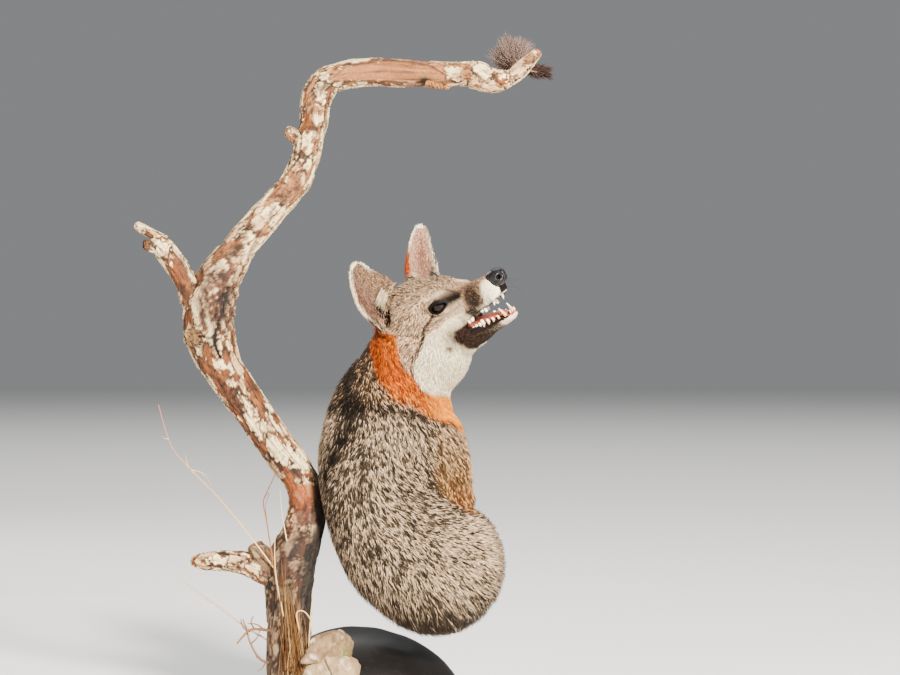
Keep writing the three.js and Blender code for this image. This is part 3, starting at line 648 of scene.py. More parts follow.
def ear_places(head):
    """For each head place: along the nearer ear, across it, 1 on its front, and the distance from it."""
    u, s, front, distance = (np.zeros(len(head)) for _ in range(4))
    distance += 1e3
    for side in (-1, 1):
        looked = ear_surface(side, EAR_LOOK_U, EAR_LOOK_S, 1 - EAR_LOOK_FRONT)
        close = (head[:, 1] * side > 8) & (head[:, 2] > -4) & (head[:, 0] < -14) & (head[:, 0] > -80)
        close = np.flatnonzero(close)
        for part in np.array_split(close, max(1, len(close) // 4000)):
            gaps = np.linalg.norm(head[part, None] - looked[None], axis=2)
            best = gaps.argmin(axis=1)
            u[part], s[part], front[part] = EAR_LOOK_U[best], EAR_LOOK_S[best], EAR_LOOK_FRONT[best]
            distance[part] = gaps.min(axis=1)
    return u, s, front, distance


# The dark line from the eye's outer corner down the cheek, and the white's upper edge: forward, up.
CHEEK_LINE = [(-8.8, 2.5), (-9.4, -4), (-15.4, -14), (-20.7, -21), (-26.5, -27.8), (-32.6, -34), (-35, -42)]
WHITE_EDGE_FORWARD = [-60, -36, -32.6, -26.5, -20.7, -14.5, -6, 0, 8, 17, 24, 40, 60]
WHITE_EDGE_UP = [-70, -44, -34, -27.8, -22, -16.5, -16, -14.6, -13.4, -13, -14, -14, -12]
# The collar's upper and lower edges: place across the right side, height.
COLLAR_TOP_X = [16, 33, 40, 44.2, 48.6, 53, 57.2, 61.5, 67.8, 74.8, 93.5, 112]
COLLAR_TOP_Z = [372, 362, 357.8, 343.2, 332, 326.8, 323.9, 319.5, 312, 307, 304.5, 303]
COLLAR_FOOT_X = [14, 18.7, 20.5, 21, 23.1, 28.4, 36, 40, 60, 70, 85, 98, 112]
COLLAR_FOOT_Z = [380, 359, 350, 340, 327, 316, 308, 305, 297, 289, 282.5, 276, 272]
CHEST_EDGE_X = [74.8, 79, 82, 85, 98, 109.8, 116]
CHEST_EDGE_Z = [274, 250.5, 233, 225.8, 209.8, 199.5, 196]
RING_X = [2, 16, 24, 40, 53, 67, 84, 100]
RING_Z = [299, 294, 293.5, 294, 291.5, 287.5, 283, 276]


def mixed(base, colour, mask):
    """Moves each row's colour, or one colour for all, towards another by the rows' mask."""
    return base + (np.asarray(colour) - base) * np.clip(mask, 0, 1)[:, None]


def markings(points, normals):
    """What grows at each point: the pale and the dark hairs' colours, the dark ones' share, the bare
    skin's colour, and where no hair grows."""
    head = to_head(points)
    forward, out, up = head[:, 0], np.abs(head[:, 1]), head[:, 2]
    facing = normals @ HEAD_AXES.T
    ear_u, ear_s, ear_front, ear_gap = ear_places(head)
    x, away, _ = folded(points)
    z = points[:, 2]
    wander = 2.2 * ripple(points, 22, 11) + 1.1 * ripple(points, 8, 12)

    # Trunk: banded hair, darker along the back and the lower fringe, paler on the rear's right. The lower
    # fringe is darker partly by its dark tips and partly as painted shade under the body, and the rear's
    # right is paler partly as a painted highlight where the light falls.
    share = 0.56 + 0.08 * ripple(points, 40, 13) + 0.08 * ripple(points, 9, 18)
    share += 0.16 * (1 - soft(x, -14, 34)) + 0.35 * (1 - soft(z, 108, 124))
    pale_lit_rump = soft(x, 60, 120) * (1 - soft(z, 185, 215))
    share -= 0.24 * pale_lit_rump * soft(z, 118, 140)
    pale = mixed(BAND_PALE, RUMP_PALE, pale_lit_rump * soft(z, 118, 140))
    share -= 0.12 * soft(z, 225, 262) * soft(x, 5, 45)

    # Breast: ochre, more rusty towards its foot, with a cream edge.
    breast_gap = x - np.interp(-z, -np.array(CHEST_EDGE_Z), CHEST_EDGE_X) + 0.5 * wander
    breast = soft(breast_gap, -2.5 - 3 * soft(z, 225, 245), 3 + 4 * soft(z, 225, 245))
    breast *= soft(z, 192, 200) * (1 - soft(z, 262, 286)) * (1 - soft(points[:, 0], 114, 120))
    tanned = breast * (0.95 - 0.5 * soft(z, 222, 262))
    pale = mixed(pale, OCHRE, tanned)
    dark = mixed(BAND_DARK, OCHRE_DEEP, tanned * 0.9)
    # Along the breast's edge more hairs are dark: a painted shade in the fold there.
    fold_shade = near(breast_gap, -1.5, 2.2) * soft(z, 196, 202) * (1 - soft(z, 232, 246))
    share = share + (0.95 - share) * fold_shade * 0.8
    rusty = breast * (1 - soft(z, 206, 238)) * soft(x, 84, 100)
    pale, dark = mixed(pale, RUST, rusty * 0.22), mixed(dark, RUST_DEEP, rusty * 0.25)
    edge = soft(away, 124, 146) * soft(z, 222, 236) * (1 - soft(z, 262, 285)) * 0.8
    pale, dark = mixed(pale, BREAST_CREAM, edge), mixed(dark, BREAST_TAN, edge)

    # Spine: a black line down from a broad black nape.
    spine_width = np.interp(z, [205, 232, 260, 285, 300, 318, 345], [2, 5, 7.5, 12, 33, 38, 30])
    spine = near(away * TO_MM + 0.6 * wander, 0, spine_width)
    spine *= soft(z, 205, 240) * (1 - soft(z, 352, 372))
    spine *= np.clip(0.85 + 0.45 * ripple(points, 13, 26), 0.3, 1) ** (1 - soft(z, 282, 300))
    share = share + (0.97 - share) * spine
    pale, dark = mixed(pale, SPINE_PALE, spine * 0.86), mixed(dark, BLACK, spine)

    # Above the shoulders a dark ring, a painted shade in the crease between neck and shoulders, and over it a
    # paler band under the collar.
    ring_gap = z - np.interp(x, RING_X, RING_Z) + 0.5 * wander
    broken = np.clip(0.9 + 0.4 * ripple(points, 10, 27), 0.45 + 0.3 * soft(x, 30, 60), 1)
    ring = near(ring_gap, 0, 4.2) * soft(x, -4, 10) * broken
    share = share + (0.88 - share) * ring
    pale = mixed(pale, RING_SHADE_PALE, ring * 0.6)
    foot_gap = z - np.interp(x, COLLAR_FOOT_X, COLLAR_FOOT_Z) + wander
    band = soft(ring_gap, 2, 6) * (1 - soft(foot_gap, -4, 2)) * soft(x, 4, 16)
    pale = mixed(pale, RING_ABOVE, band)
    share = share + (0.54 - share) * band * (1 - spine)

    # Collar: rust between its foot and its top.
    top_gap = np.interp(x, COLLAR_TOP_X, COLLAR_TOP_Z) - z + 0.5 * wander
    collar = soft(foot_gap, -5, 5) * soft(top_gap, -2.5, 3.5)
    glow = np.clip(0.5 + 0.6 * ripple(points, 15, 19) + 0.3 * ripple(points, 5, 24), 0, 1)
    glow = np.maximum(glow * 0.55, 1 - soft(foot_gap, 1, 10))
    pale = mixed(mixed(pale, RUST, collar), COLLAR_GLOW, glow * collar * 0.8)
    dark = mixed(dark, RUST_DEEP, collar)
    share = share + (0.36 - share) * collar
    collar_right = soft(x, 62, 86) * collar
    pale = mixed(pale, COLLAR_GOLD, collar_right * 0.95)
    dark = mixed(dark, COLLAR_AMBER, collar_right * 0.9)
    # The collar's left part, towards the back, is painted darker: a painted shade.
    collar_left_shade = collar * (1 - soft(x, 22, 46)) * 0.75
    pale, dark = mixed(pale, RUST_DEEP, collar_left_shade), mixed(dark, COLLAR_SHADE, collar_left_shade)

    # Throat and lower cheek: white down to the collar. The rest of the face is flecked, with a darker
    # crown and nape, pale hair over and under the eye, and dark lines and a spot on the cheek.
    above_collar = 1 - soft(top_gap, -1.5, 2.5)
    below_edge = soft(np.interp(forward, WHITE_EDGE_FORWARD, WHITE_EDGE_UP) - up + 0.25 * wander, -0.8, 1.6)
    headness = soft(above_collar, 0, 1)
    white = below_edge * headness * (1 - soft(ear_u, 0.2, 0.5) * (ear_gap < 5))
    cheek = headness * (1 - below_edge)
    flecked = 0.32 + 0.12 * ripple(points, 9, 14)
    crown = soft(up, 8, 18) * soft(-forward, -8, 6)
    face_dark = mixed(FACE_DARK, CROWN_DARK, crown)
    nape = soft(-forward, 56, 70) * (1 - soft(out, 20, 34))
    face_dark = mixed(face_dark, BLACK, nape)
    bridge = soft(forward, 6, 22) * soft(up, -3, 3)
    face_pale = mixed(FACE_PALE, BRIDGE_PALE, bridge)
    face_dark = mixed(face_dark, BRIDGE_DARK, bridge)
    brow = near(forward, 2, 10) * near(up, 9, 3.2) * soft(out, 8, 14)
    face_pale, face_dark = mixed(face_pale, CREAM, brow * 0.6), mixed(face_dark, TAN, brow * 0.8)
    under = near(forward, 14, 11) * near(up, -8, 4.6) * soft(out, 10, 14)
    face_pale = mixed(face_pale, UNDER_EYE, under * 0.9)
    face_dark = mixed(face_dark, TAN, under * 0.9)
    pale, dark = mixed(pale, face_pale, cheek), mixed(dark, face_dark, cheek)
    share = share + (flecked + 0.10 * crown + 0.35 * nape - share) * cheek
    behind_ear = soft(-forward, 52, 60) * soft(out, 22, 34) * (1 - soft(up, 22, 34)) * headness
    pale, dark = mixed(pale, RUST, behind_ear), mixed(dark, RUST_DEEP, behind_ear)
    pale, dark = mixed(pale, WHITE, white), mixed(dark, WHITE_SHADE, white)
    share = share + (0.22 - share) * white
    line = near(line_distance(forward, up, CHEEK_LINE), 0, 1.5) * soft(out, 16, 20) * (forward < 4)
    line *= 1 - soft(np.hypot(forward + 7, up - 3), 34, 56) * 0.7
    pale, dark = mixed(pale, MUZZLE_BROWN, line * 0.8), mixed(dark, MUZZLE_DARK, line)
    share = share + (0.9 - share) * line
    streak_line = [(-12, -12), (3, -10.2), (20, -7)]
    streak = near(line_distance(forward, up, streak_line), 0, 1.3) * soft(out, 10, 14)
    pale, dark = mixed(pale, MUZZLE_BROWN, streak * 0.45), mixed(dark, MUZZLE_DARK, streak * 0.7)
    spot = near(forward, -9.7, 2.6) * near(up, -37.7, 2.4) * soft(out, 18, 24)
    pale, dark = mixed(pale, LIP_BROWN, spot), mixed(dark, LIP_DARK, spot)

    # Muzzle: a dark patch on each side, white upper lips, a tear line from the eye's inner corner.
    ragged = forward + 1.6 * ripple(points, 5, 25)
    patch = near(ragged, 33, 9.0) * near(up, -7, 13) * soft(out, 3, 8)
    patch = np.maximum(patch, 0.9 * near(ragged, 26, 7) * near(up, -17, 5.5) * soft(out, 3, 8))
    patch = np.maximum(patch, 0.55 * near(ragged, 29, 9) * soft(up, -4, 1) * soft(out, 1, 5))
    patch = np.clip(1.4 * patch, 0, 1)
    tear_thick = np.interp(forward, [0, 4, 9, 14, 20, 24], [2.2, 3.2, 6.0, 4.8, 3.0, 1.8])
    tear_line = [(1, 5.5), (8, 2.0), (14, 1.4), (21, 0.2)]
    tear = near(line_distance(forward, up, tear_line) / tear_thick, 0, 1) * soft(out, 6, 10)
    tear *= np.where(head[:, 1] > 0, 1 - soft(up, -1.5, 1), 1)
    lip_white = soft(forward - 0.25 * (up + 8), 41.5, 46.5) * (1 - soft(up, 0.5, 4))
    lip_white = np.clip(lip_white, 0, 1) * (forward < 70) * (up > -24)
    pale, dark = mixed(pale, WHITE, lip_white), mixed(dark, CREAM, lip_white)
    patch = np.clip(np.maximum(patch, 0.95 * tear) * (1 - 0.85 * lip_white), 0, 1)
    pale, dark = mixed(pale, PATCH_PALE, patch * 0.9), mixed(dark, PATCH_DARK, patch)
    pale, dark = mixed(pale, TEAR_PALE, tear), mixed(dark, TEAR_DARK, tear)
    share = share + (0.68 + 0.2 * near(up, -13, 6) - share) * patch

    # Jaw: dark brown sides and mouth corners, a pale chin and a white underside.
    jaw_side = soft(forward, -4, 3) * (1 - soft(forward, 40, 48))
    jaw_side *= soft(-up, 23, 27) * (1 - soft(-up, 49.5, 52))
    jaw_side *= np.maximum(soft(out, 4, 8), soft(forward, 5, 11))
    corner = near(forward, 3, 8) * near(up, -34, 10) * soft(out, 10, 15)
    jaw_dark = np.clip(np.maximum(jaw_side, 1.3 * corner), 0, 1)
    jaw_pale = near(forward, 38, 7) * near(up, -40, 2.6)
    pale, dark = mixed(pale, LIP_BROWN, jaw_dark), mixed(dark, LIP_DARK, jaw_dark)
    pale = mixed(pale, PALE_TAN, jaw_dark * jaw_pale * 0.5)
    share = share + (0.70 - share) * jaw_dark
    chin = soft(forward, 42, 48) * soft(-up, 28, 31)
    pale, dark = mixed(pale, CHIN_PALE, chin), mixed(dark, PALE_TAN, chin)

    # Ears: pink skin with cream hair in front, rust and tan behind, cream rims.
    on_ear = (1 - soft(ear_gap, 1.8, 3.2)) * soft(ear_u, 0.25, 0.6)
    front, rear = on_ear * ear_front, on_ear * (1 - ear_front)
    ear_mid = front * near(ear_s, -0.4, 0.5) * near(ear_u, 1.9, 1.5)
    ear_grey = front * soft(ear_s, 0.1, 0.6) * (1 - soft(ear_u, 2.6, 4.2)) * (head[:, 1] < 0)
    outside = front * soft(ear_s, 0.5, 0.7) * (1 - soft(ear_u, 0.4, 1.2)) * (head[:, 1] > 0)
    rim = np.maximum(soft(-ear_s, 0.86, 0.96), soft(ear_u, 4.4, 4.9))
    rim = np.maximum(rim, soft(ear_s, 0.86, 0.96) * soft(ear_u, 1.5, 3.0)) * on_ear
    # The right ear's front is painted darker, its hair and its skin alike: a painted shade.
    shade = EAR_PAINTED_SHADE * (head[:, 1:2] < 0)
    pale = mixed(pale, EAR_PALE, front) * (1 - front[:, None] * shade)
    dark = mixed(dark, EAR_DARK, front) * (1 - front[:, None] * shade)
    pale, dark = mixed(pale, EAR_GREY, ear_grey), mixed(dark, EAR_GREY_DARK, ear_grey)
    pale, dark = mixed(pale, EAR_RUST, outside), mixed(dark, EAR_RUST_DARK, outside)
    share = share + (0.9 - share) * ear_mid
    rear_pale = mixed(RUST, EAR_BACK_PALE, soft(ear_u, 1.5, 3.6))
    rear_dark = mixed(RUST_DEEP, EAR_BACK_DARK, soft(ear_u, 1.5, 3.6))
    pale, dark = mixed(pale, rear_pale, rear), mixed(dark, rear_dark, rear)
    share = share + (0.4 - share) * (on_ear - ear_mid)
    pale, dark = mixed(pale, EAR_RIM, rim), mixed(dark, CREAM, rim)

    skin = pale * (1 - share[:, None]) + dark * share[:, None]
    # The skin is painted darker than the hair: partly dark underfur and partly a painted shade in the gaps
    # between the tufts, less under the face's short hair and the white.
    skin *= (0.42 + 0.45 * np.maximum(cheek, white))[:, None]
    skin = mixed(skin, EAR_PINK, front * (1 - rim) * (0.45 + 0.5 * ear_mid))
    # The same painted shade darkens the right ear's bare front skin.
    skin = skin * (1 - 0.9 * (front * (1 - rim))[:, None] * shade)
    # The ear's canal, the edge of its cup near the base and the hollow beside the ear are painted near black:
    # a painted shade in these hollows, where no hair grows.
    canal_shade = near(ear_u, 0.15, 0.6) * near(ear_s, 0.15, 0.55)
    canal_shade = canal_shade + near(ear_u, 0.9, 0.55) * near(ear_s, -0.8, 0.16)
    canal_shade = np.clip(1.6 * canal_shade, 0, 1) * ear_front * (1 - soft(ear_gap, 2, 4))
    beside = near(forward, CANAL_PLACE[0], 6) * near(up, CANAL_PLACE[1], 8) * soft(out, 17, 23)
    canal_shade = np.maximum(canal_shade, np.clip(1.7 * beside, 0, 1))
    skin = mixed(skin, CANAL_SHADE_BLACK, canal_shade)

    # Bare places: nose seat, lips and inside of the mouth, eyelids and ear canal.
    _, level, bottom, wide = section_at(SKULL, forward)
    lip_gap = out / wide
    inside_top = (forward > 12.5) & (forward < 51) & (up < level - 3) & (up > bottom - 3)
    inside_top = inside_top & (facing[:, 2] < 0.1)
    upper_rim = inside_top * soft(lip_gap, 0.74, 0.80) * (1 - soft(lip_gap, 0.90, 0.96))
    upper_rim = upper_rim * soft(forward, 14, 17)
    edge_low = (1 - soft(up - bottom, -0.6, 0.5)) * soft(lip_gap, 0.7, 0.8) * (up > bottom - 4)
    upper_rim = np.maximum(upper_rim, edge_low * soft(forward, 13, 16) * (1 - soft(forward, 56, 59)))
    inside_top = inside_top * (1 - soft(lip_gap, 0.78, 0.84))
    top, level, _, wide = section_at(JAW, forward)
    lip_gap = out / wide
    inside_low = (forward > 12.5) & (forward < 56) & (up > level) & (up < top + 3.5)
    inside_low = inside_low & (facing[:, 2] > -0.2)
    lower_rim = inside_low * soft(lip_gap, 0.72, 0.80) * (1 - soft(lip_gap, 1.0, 1.04))
    edge_high = soft(up - top, -1.9, -0.9) * (1 - soft(up - top, 2.5, 4)) * soft(lip_gap, 0.72, 0.8)
    lower_rim = np.maximum(lower_rim, edge_high * soft(forward, 8, 12) * (1 - soft(forward, 52, 56)))
    inside_low = inside_low * (1 - soft(lip_gap, 0.76, 0.84))
    mouth = np.clip(inside_top + inside_low, 0, 1)
    corner_fold = near(forward, 12, 2.4) * near(up, -26.5, 4) * soft(out, 10, 14)
    rims = np.clip(upper_rim + lower_rim + 1.4 * corner_fold, 0, 1)
    lid = (lid_reach(forward, up) < 1.12) & (out > 12) & ((head[:, 1] < 0) | (up < 2.6))
    nose_seat = np.linalg.norm((head - [60.5, 0, 0]) / [8.5, 9.5, 8.5], axis=1) < 1
    skin = mixed(skin, MOUTH_PINK, mouth)
    # Deep in the mouth and under the palate the pink is painted darker: a painted shade.
    skin = mixed(skin, MOUTH_SHADE, mouth * (1 - soft(forward, 4, 22)))
    skin = mixed(skin, MOUTH_SHADE, inside_top * 0.6)
    skin = mixed(skin, LIP_EDGE, rims)
    philtrum = soft(forward, 53.5, 55.5) * (1 - soft(-head[:, 1], 3.4, 4.8))
    philtrum = philtrum * (1 - soft(up, -4, -2)) * (up > -20)
    skin = mixed(skin, NOSE_SEAT, np.maximum(philtrum, lid | nose_seat))
    bare = np.clip(mouth + rims + lid + nose_seat + philtrum + canal_shade * 0.9, 0, 1)
    return {
        "pale": pale, "dark": dark, "share": np.clip(share, 0, 1), "skin": skin, "bare": bare,
        "front": front, "rear": rear, "rim": rim, "headness": np.maximum(headness, on_ear),
        "ear_u": ear_u, "ear_s": ear_s, "on_ear": on_ear,
    }


# The lie over the flank: the angle from straight down towards the breast grows with the distance
# from the line below the withers, over a reach that shrinks down to the middle of the rear end.
LIE_HEIGHTS = [112, 135, 160, 190, 219, 250, 290]
LIE_MIDDLE = [20, 15, 5, 5, 5, 20, 25]
LIE_REACH = [150, 80, 61, 32, 36, 54, 97]
END_CENTRE = np.array([58.0, 0, 178])


def coat_growth(points, normals, marks):
    """How the hair grows at each point: its way along the skin, its lift, length, width and density."""
    head = to_head(points)
    forward, out, up = head[:, 0], np.abs(head[:, 1]), head[:, 2]
    x, away, side = folded(points)
    z = points[:, 2]
    middle = np.interp(z, TRUNK_HEIGHTS, TRUNK_MIDDLE)
    half = np.interp(z, TRUNK_HEIGHTS, TRUNK_HALF)
    bearing = np.arctan2(points[:, 1] / FLANK_DEPTH, (points[:, 0] - middle) / half)
    round_way = np.stack([-np.sin(bearing) * half, np.cos(bearing) * FLANK_DEPTH, 0 * z], -1)
    round_way *= (side / np.linalg.norm(round_way, axis=1))[:, None]
    lean = np.arctan2(x - np.interp(z, LIE_HEIGHTS, LIE_MIDDLE), np.interp(z, LIE_HEIGHTS, LIE_REACH))
    upper = soft(z, 268, 300)
    lean = lean * (1 - upper) + 0.55 * upper * soft(x, 8, 30) * (1 - soft(x, 70, 92))
    breast = soft(x - np.interp(-z, -np.array(CHEST_EDGE_Z), CHEST_EDGE_X), -5, 7) * soft(z, 196, 210)
    lean = lean * (1 - breast) + 0.4 * breast
    trunk_way = round_way * np.sin(lean)[:, None] - np.array([0, 0, 1.0]) * np.cos(lean)[:, None]

    head_way = np.zeros_like(points)
    head_way[:, 0] = -1
    head_way[:, 2] = -0.75 * soft(out, 8, 24) * (1 - soft(forward, 6, 26))
    head_way[:, 1] = np.sign(head[:, 1]) * 0.25 * soft(up, 5, 15) * (1 - soft(forward, -10, 10))
    head_way = head_way @ HEAD_AXES
    headness = marks["headness"] * soft(forward + 0.2 * up, -52, -36)
    headness = np.maximum(headness, marks["on_ear"])
    way = trunk_way * (1 - headness)[:, None] + head_way * headness[:, None]

    # On an ear the hair runs from its base to its tip, and on its front a little outwards.
    ear_way = np.array(EAR[-1][:3]) - np.array(EAR[0][:3])
    ear_way = np.tile(ear_way / np.linalg.norm(ear_way), (len(points), 1))
    ear_way[:, 1] *= np.sign(head[:, 1])
    way = way * (1 - marks["on_ear"])[:, None] + (ear_way @ HEAD_AXES) * marks["on_ear"][:, None]
    sway = np.stack([ripple(points, 26, seed) for seed in (21, 22, 23)], -1)
    way = way + 0.16 * sway
    way -= normals * np.einsum("ij,ij->i", way, normals)[:, None]
    way /= np.maximum(np.linalg.norm(way, axis=1, keepdims=True), 1e-9)

    endness = 1 - soft(z, 118, 168)
    endness = np.maximum(endness, soft(x, 96, 128) * (1 - soft(z, 190, 212)))
    face = soft(forward, -18, 4) * marks["headness"]
    muzzle = soft(forward, 8, 26)
    length = 8.2 + 3.4 * endness
    length = length * (1 - marks["headness"]) + 7.2 * marks["headness"]
    length = length * (1 - face) + 3.2 * face
    length = length * (1 - muzzle) + 2.1 * muzzle
    length = length * (1 - 0.35 * soft(forward, 44, 56))
    crown = soft(up, 6, 16) * marks["headness"]
    length = length * (1 - crown * (1 - face)) + 4.6 * crown * (1 - face)
    near_eye = 1 - soft(np.hypot((forward - 1) / 1.4, up), 8, 16)
    length = length * (1 - 0.5 * near_eye * marks["headness"] * (out > 10))
    length = length * (1 - marks["on_ear"]) + 3.0 * marks["on_ear"]
    in_canal = near(forward, CANAL_PLACE[0] + 4, 9) * near(up, CANAL_PLACE[1], 12) * soft(out, 17, 23)
    length = length * (1 - 0.65 * in_canal)
    width = np.clip(0.13 + 0.074 * length, 0.24, 0.82)
    lift = np.radians(23 + 36 * endness)
    lift = lift * (1 - marks["on_ear"]) + np.radians(12) * marks["on_ear"]
    density = 1.0 + 0.35 * marks["headness"] + 0.9 * crown + 1.2 * face + 1.6 * muzzle
    ear_density = (2.2 * marks["rear"] + 2.6 * marks["front"]) * (marks["on_ear"] > 0)
    density = density * (1 - marks["on_ear"]) + ear_density
    density = density + 1.5 * marks["rim"]
    density = density * (1 - marks["bare"])
    return way, lift, length, width, density


skin_marks = markings(skin_points, skin_normals)
coat_material = finish_like("coat_hair", {"Roughness": 0.6, "Specular IOR Level": 0.10})
paint_node = coat_material.node_tree.nodes.new("ShaderNodeAttribute")
paint_node.attribute_name = "paint"
coat_shader = coat_material.node_tree.nodes["Principled BSDF"]
joined(coat_material, coat_shader, {}, {"Base Color": paint_node.outputs["Color"]})
skin_material = finish_like("fox_skin", {}, base=coat_material)
fitted(
    "fox_skin", skin_points, skin_triangles, skin_material, skin_marks["skin"], "grey_coat",
    "head", "lower_jaw", "ear_right", "ear_left", "neck", "shoulders", "chest", "rear_body",
)

# ---- Tufts of the coat --------------------------------------------------------------------------
# Each tuft is a closed spindle of six faces: a root in the skin, three corners at its thickest and a
# tip. They are sown over the skin in even steps and sorted into pieces by where they grow.

COAT_SEED = 5
TUFT_TOTAL = 220000
PATCH = 0.0015  # half of a tuft's patch on the unwrap


def sown(weights, total, source):
    """Which triangle each root stands on, and where in it: even steps along the summed weights."""
    summed = np.cumsum(weights)
    steps = (np.arange(total) + source.uniform(0, 1, total)) * summed[-1] / total
    chosen = np.minimum(np.searchsorted(summed, steps), len(weights) - 1)
    a, b = source.uniform(0, 1, (2, total))
    over = a + b > 1
    a, b = np.where(over, 1 - a, a), np.where(over, 1 - b, b)
    return chosen, np.stack([1 - a - b, a, b], -1)


def spread(values, triangles, chosen, shares):
    """The vertices' values at places inside the chosen triangles."""
    return np.einsum("ik,ikj->ij", shares, values[triangles[chosen]])


growth = coat_growth(skin_points, lie_normals, skin_marks)
corner = skin_points[skin_triangles]
area = 0.5 * np.linalg.norm(np.cross(corner[:, 1] - corner[:, 0], corner[:, 2] - corner[:, 0]), axis=1)
tuft_source = np.random.default_rng(COAT_SEED)
root_face, root_share = sown(area * growth[4][skin_triangles].mean(axis=1), TUFT_TOTAL, tuft_source)
roots = spread(skin_points, skin_triangles, root_face, root_share)
root_normals = spread(skin_normals, skin_triangles, root_face, root_share)
root_normals /= np.linalg.norm(root_normals, axis=1, keepdims=True)
root_marks = markings(roots, root_normals)
way, lift, length, width, _ = coat_growth(roots, root_normals, root_marks)


def spindles(roots, normals, way, lift, length, width, source):
    """Five points a tuft: root, left, right and top at two fifths of its length, and the tip.

    The first part rises by the lift, the second by a third of it, so that the tuft bends to the skin.
    """
    count = len(roots)
    side = np.cross(normals, way)
    turn = source.normal(0, 0.17, count)[:, None]
    way = way * np.cos(turn) + side * np.sin(turn)
    side = np.cross(normals, way)
    rise = (lift * source.uniform(0.40, 1.95, count))[:, None]
    reach = (length * source.uniform(0.65, 1.30, count))[:, None]
    broad = (width * source.uniform(0.75, 1.25, count))[:, None]
    first = way * np.cos(rise) + normals * np.sin(rise)
    bend = source.normal(0, 0.10, count)[:, None]
    second = way * np.cos(rise / 3) + normals * np.sin(rise / 3) + side * bend
    base = roots - normals * 0.35
    middle = base + first * reach * 0.42
    above = np.cross(first, side) * -1
    above *= np.sign(np.einsum("ij,ij->i", above, normals))[:, None]
    return np.stack([
        base, middle - side * broad / 2, middle + side * broad / 2, middle + above * broad * 0.34,
        middle + second * reach * 0.58,
    ], 1)


SPINDLE_FACES = np.array([(0, 2, 3), (0, 3, 1), (0, 1, 2), (4, 3, 2), (4, 1, 3), (4, 2, 1)])
SPINDLE_PATCH = np.array([(0, -1), (-1, 0), (1, 0), (0, 0.2), (0, 1)]) * PATCH


def clumped(points, size, source):
    """An even number from 0 to 1 for each point, mostly alike for neighbours: the ranks of a fine ripple."""
    field = ripple(points, size, 61, 40) + source.normal(0, 0.08, len(points))
    ranks = np.empty(len(points))
    ranks[np.argsort(field)] = np.arange(len(points)) / len(points)
    return ranks


def tuft_colours(marks, chance, source):
    """Root, band and tip colours: dark tufts by the marked share, pale ones with now and then a dark tip."""
    count = len(marks["share"])
    is_dark = chance < marks["share"]
    middle = source.uniform(0, 1, count)[:, None] * 0.12
    shade = source.uniform(0.66, 1.20, count)[:, None]
    main = np.where(is_dark[:, None], marks["dark"], marks["pale"]) * shade
    other = np.where(is_dark[:, None], marks["pale"], marks["dark"])
    main = main * (1 - middle) + other * middle
    contrast = np.abs(marks["pale"] - marks["dark"]).mean(axis=1, keepdims=True)
    tipped = (source.uniform(0, 1, count) < 0.30)[:, None] & ~is_dark[:, None] & (contrast > 0.2)
    tip = np.where(tipped, marks["dark"], main * 1.04)
    # A tuft's root takes the skin's darker paint: partly the hair's dark base and partly a painted shade deep
    # in the coat.
    root = np.minimum(marks["skin"], main * 0.75)
    return np.clip(np.stack([root, main, main, main, tip], 1), 0, 1)


def unwrapped(points, marks):
    """A place on the skin's own unwrap: around and along the ear, the head's forward axis or the trunk."""
    head = to_head(points)
    around_head = np.arctan2(head[:, 2] + 15, head[:, 1]) / (2 * np.pi) + 0.5
    along_head = (head[:, 0] + 85) / 160
    around_trunk = np.arctan2(points[:, 1], points[:, 0] - 50) / (2 * np.pi) + 0.5
    along_trunk = (points[:, 2] - 85) / 300
    from_end = points - END_CENTRE
    end_axis = np.array([0.73, 0, -0.68])
    across = np.array([0.68, 0, 0.73])
    along_end = np.arccos(np.clip(from_end @ end_axis / np.linalg.norm(from_end, axis=1), -1, 1)) / np.pi
    around_end = np.arctan2(from_end[:, 1], from_end @ across) / (2 * np.pi) + 0.5
    return {
        "ear": np.stack([
            0.25 + 0.2 * marks["ear_s"] + 0.5 * (head[:, 1] > 0),
            0.05 + 0.085 * marks["ear_u"] + 0.45 * (marks["front"] > 0.5),
        ], -1),
        "head": np.stack([around_head, along_head], -1),
        "trunk": np.stack([around_trunk, along_trunk], -1),
        "end": np.stack([around_end, along_end], -1),
    }


tufts = spindles(roots, root_normals, way, lift, length, width, tuft_source)
shown_marks = markings(roots + way * (0.6 * length)[:, None], root_normals)
fine_coat = (root_marks["headness"] > 0.5) * 1.0
chance = clumped(roots * (1 + 0.7 * fine_coat)[:, None], 3.4, tuft_source)
tuft_paint = tuft_colours(shown_marks, chance, tuft_source)
tuft_faces = facing_out(tufts[0], SPINDLE_FACES)
unwraps = unwrapped(roots, root_marks)
root_head = to_head(roots)
is_ear = root_marks["on_ear"] > 0.5
is_head = (root_marks["headness"] > 0.5) & ~is_ear
on_trunk = ~is_ear & ~is_head
root_forward, root_height = root_head[:, 0], roots[:, 2]
right_cheek, right_side = root_head[:, 1] < 0, roots[:, 1] < 0
NECK_FOOT, END_TOP = 285, 200  # where the coat's zones part along the trunk
on_flank = on_trunk & (root_height <= NECK_FOOT) & (root_height > END_TOP)
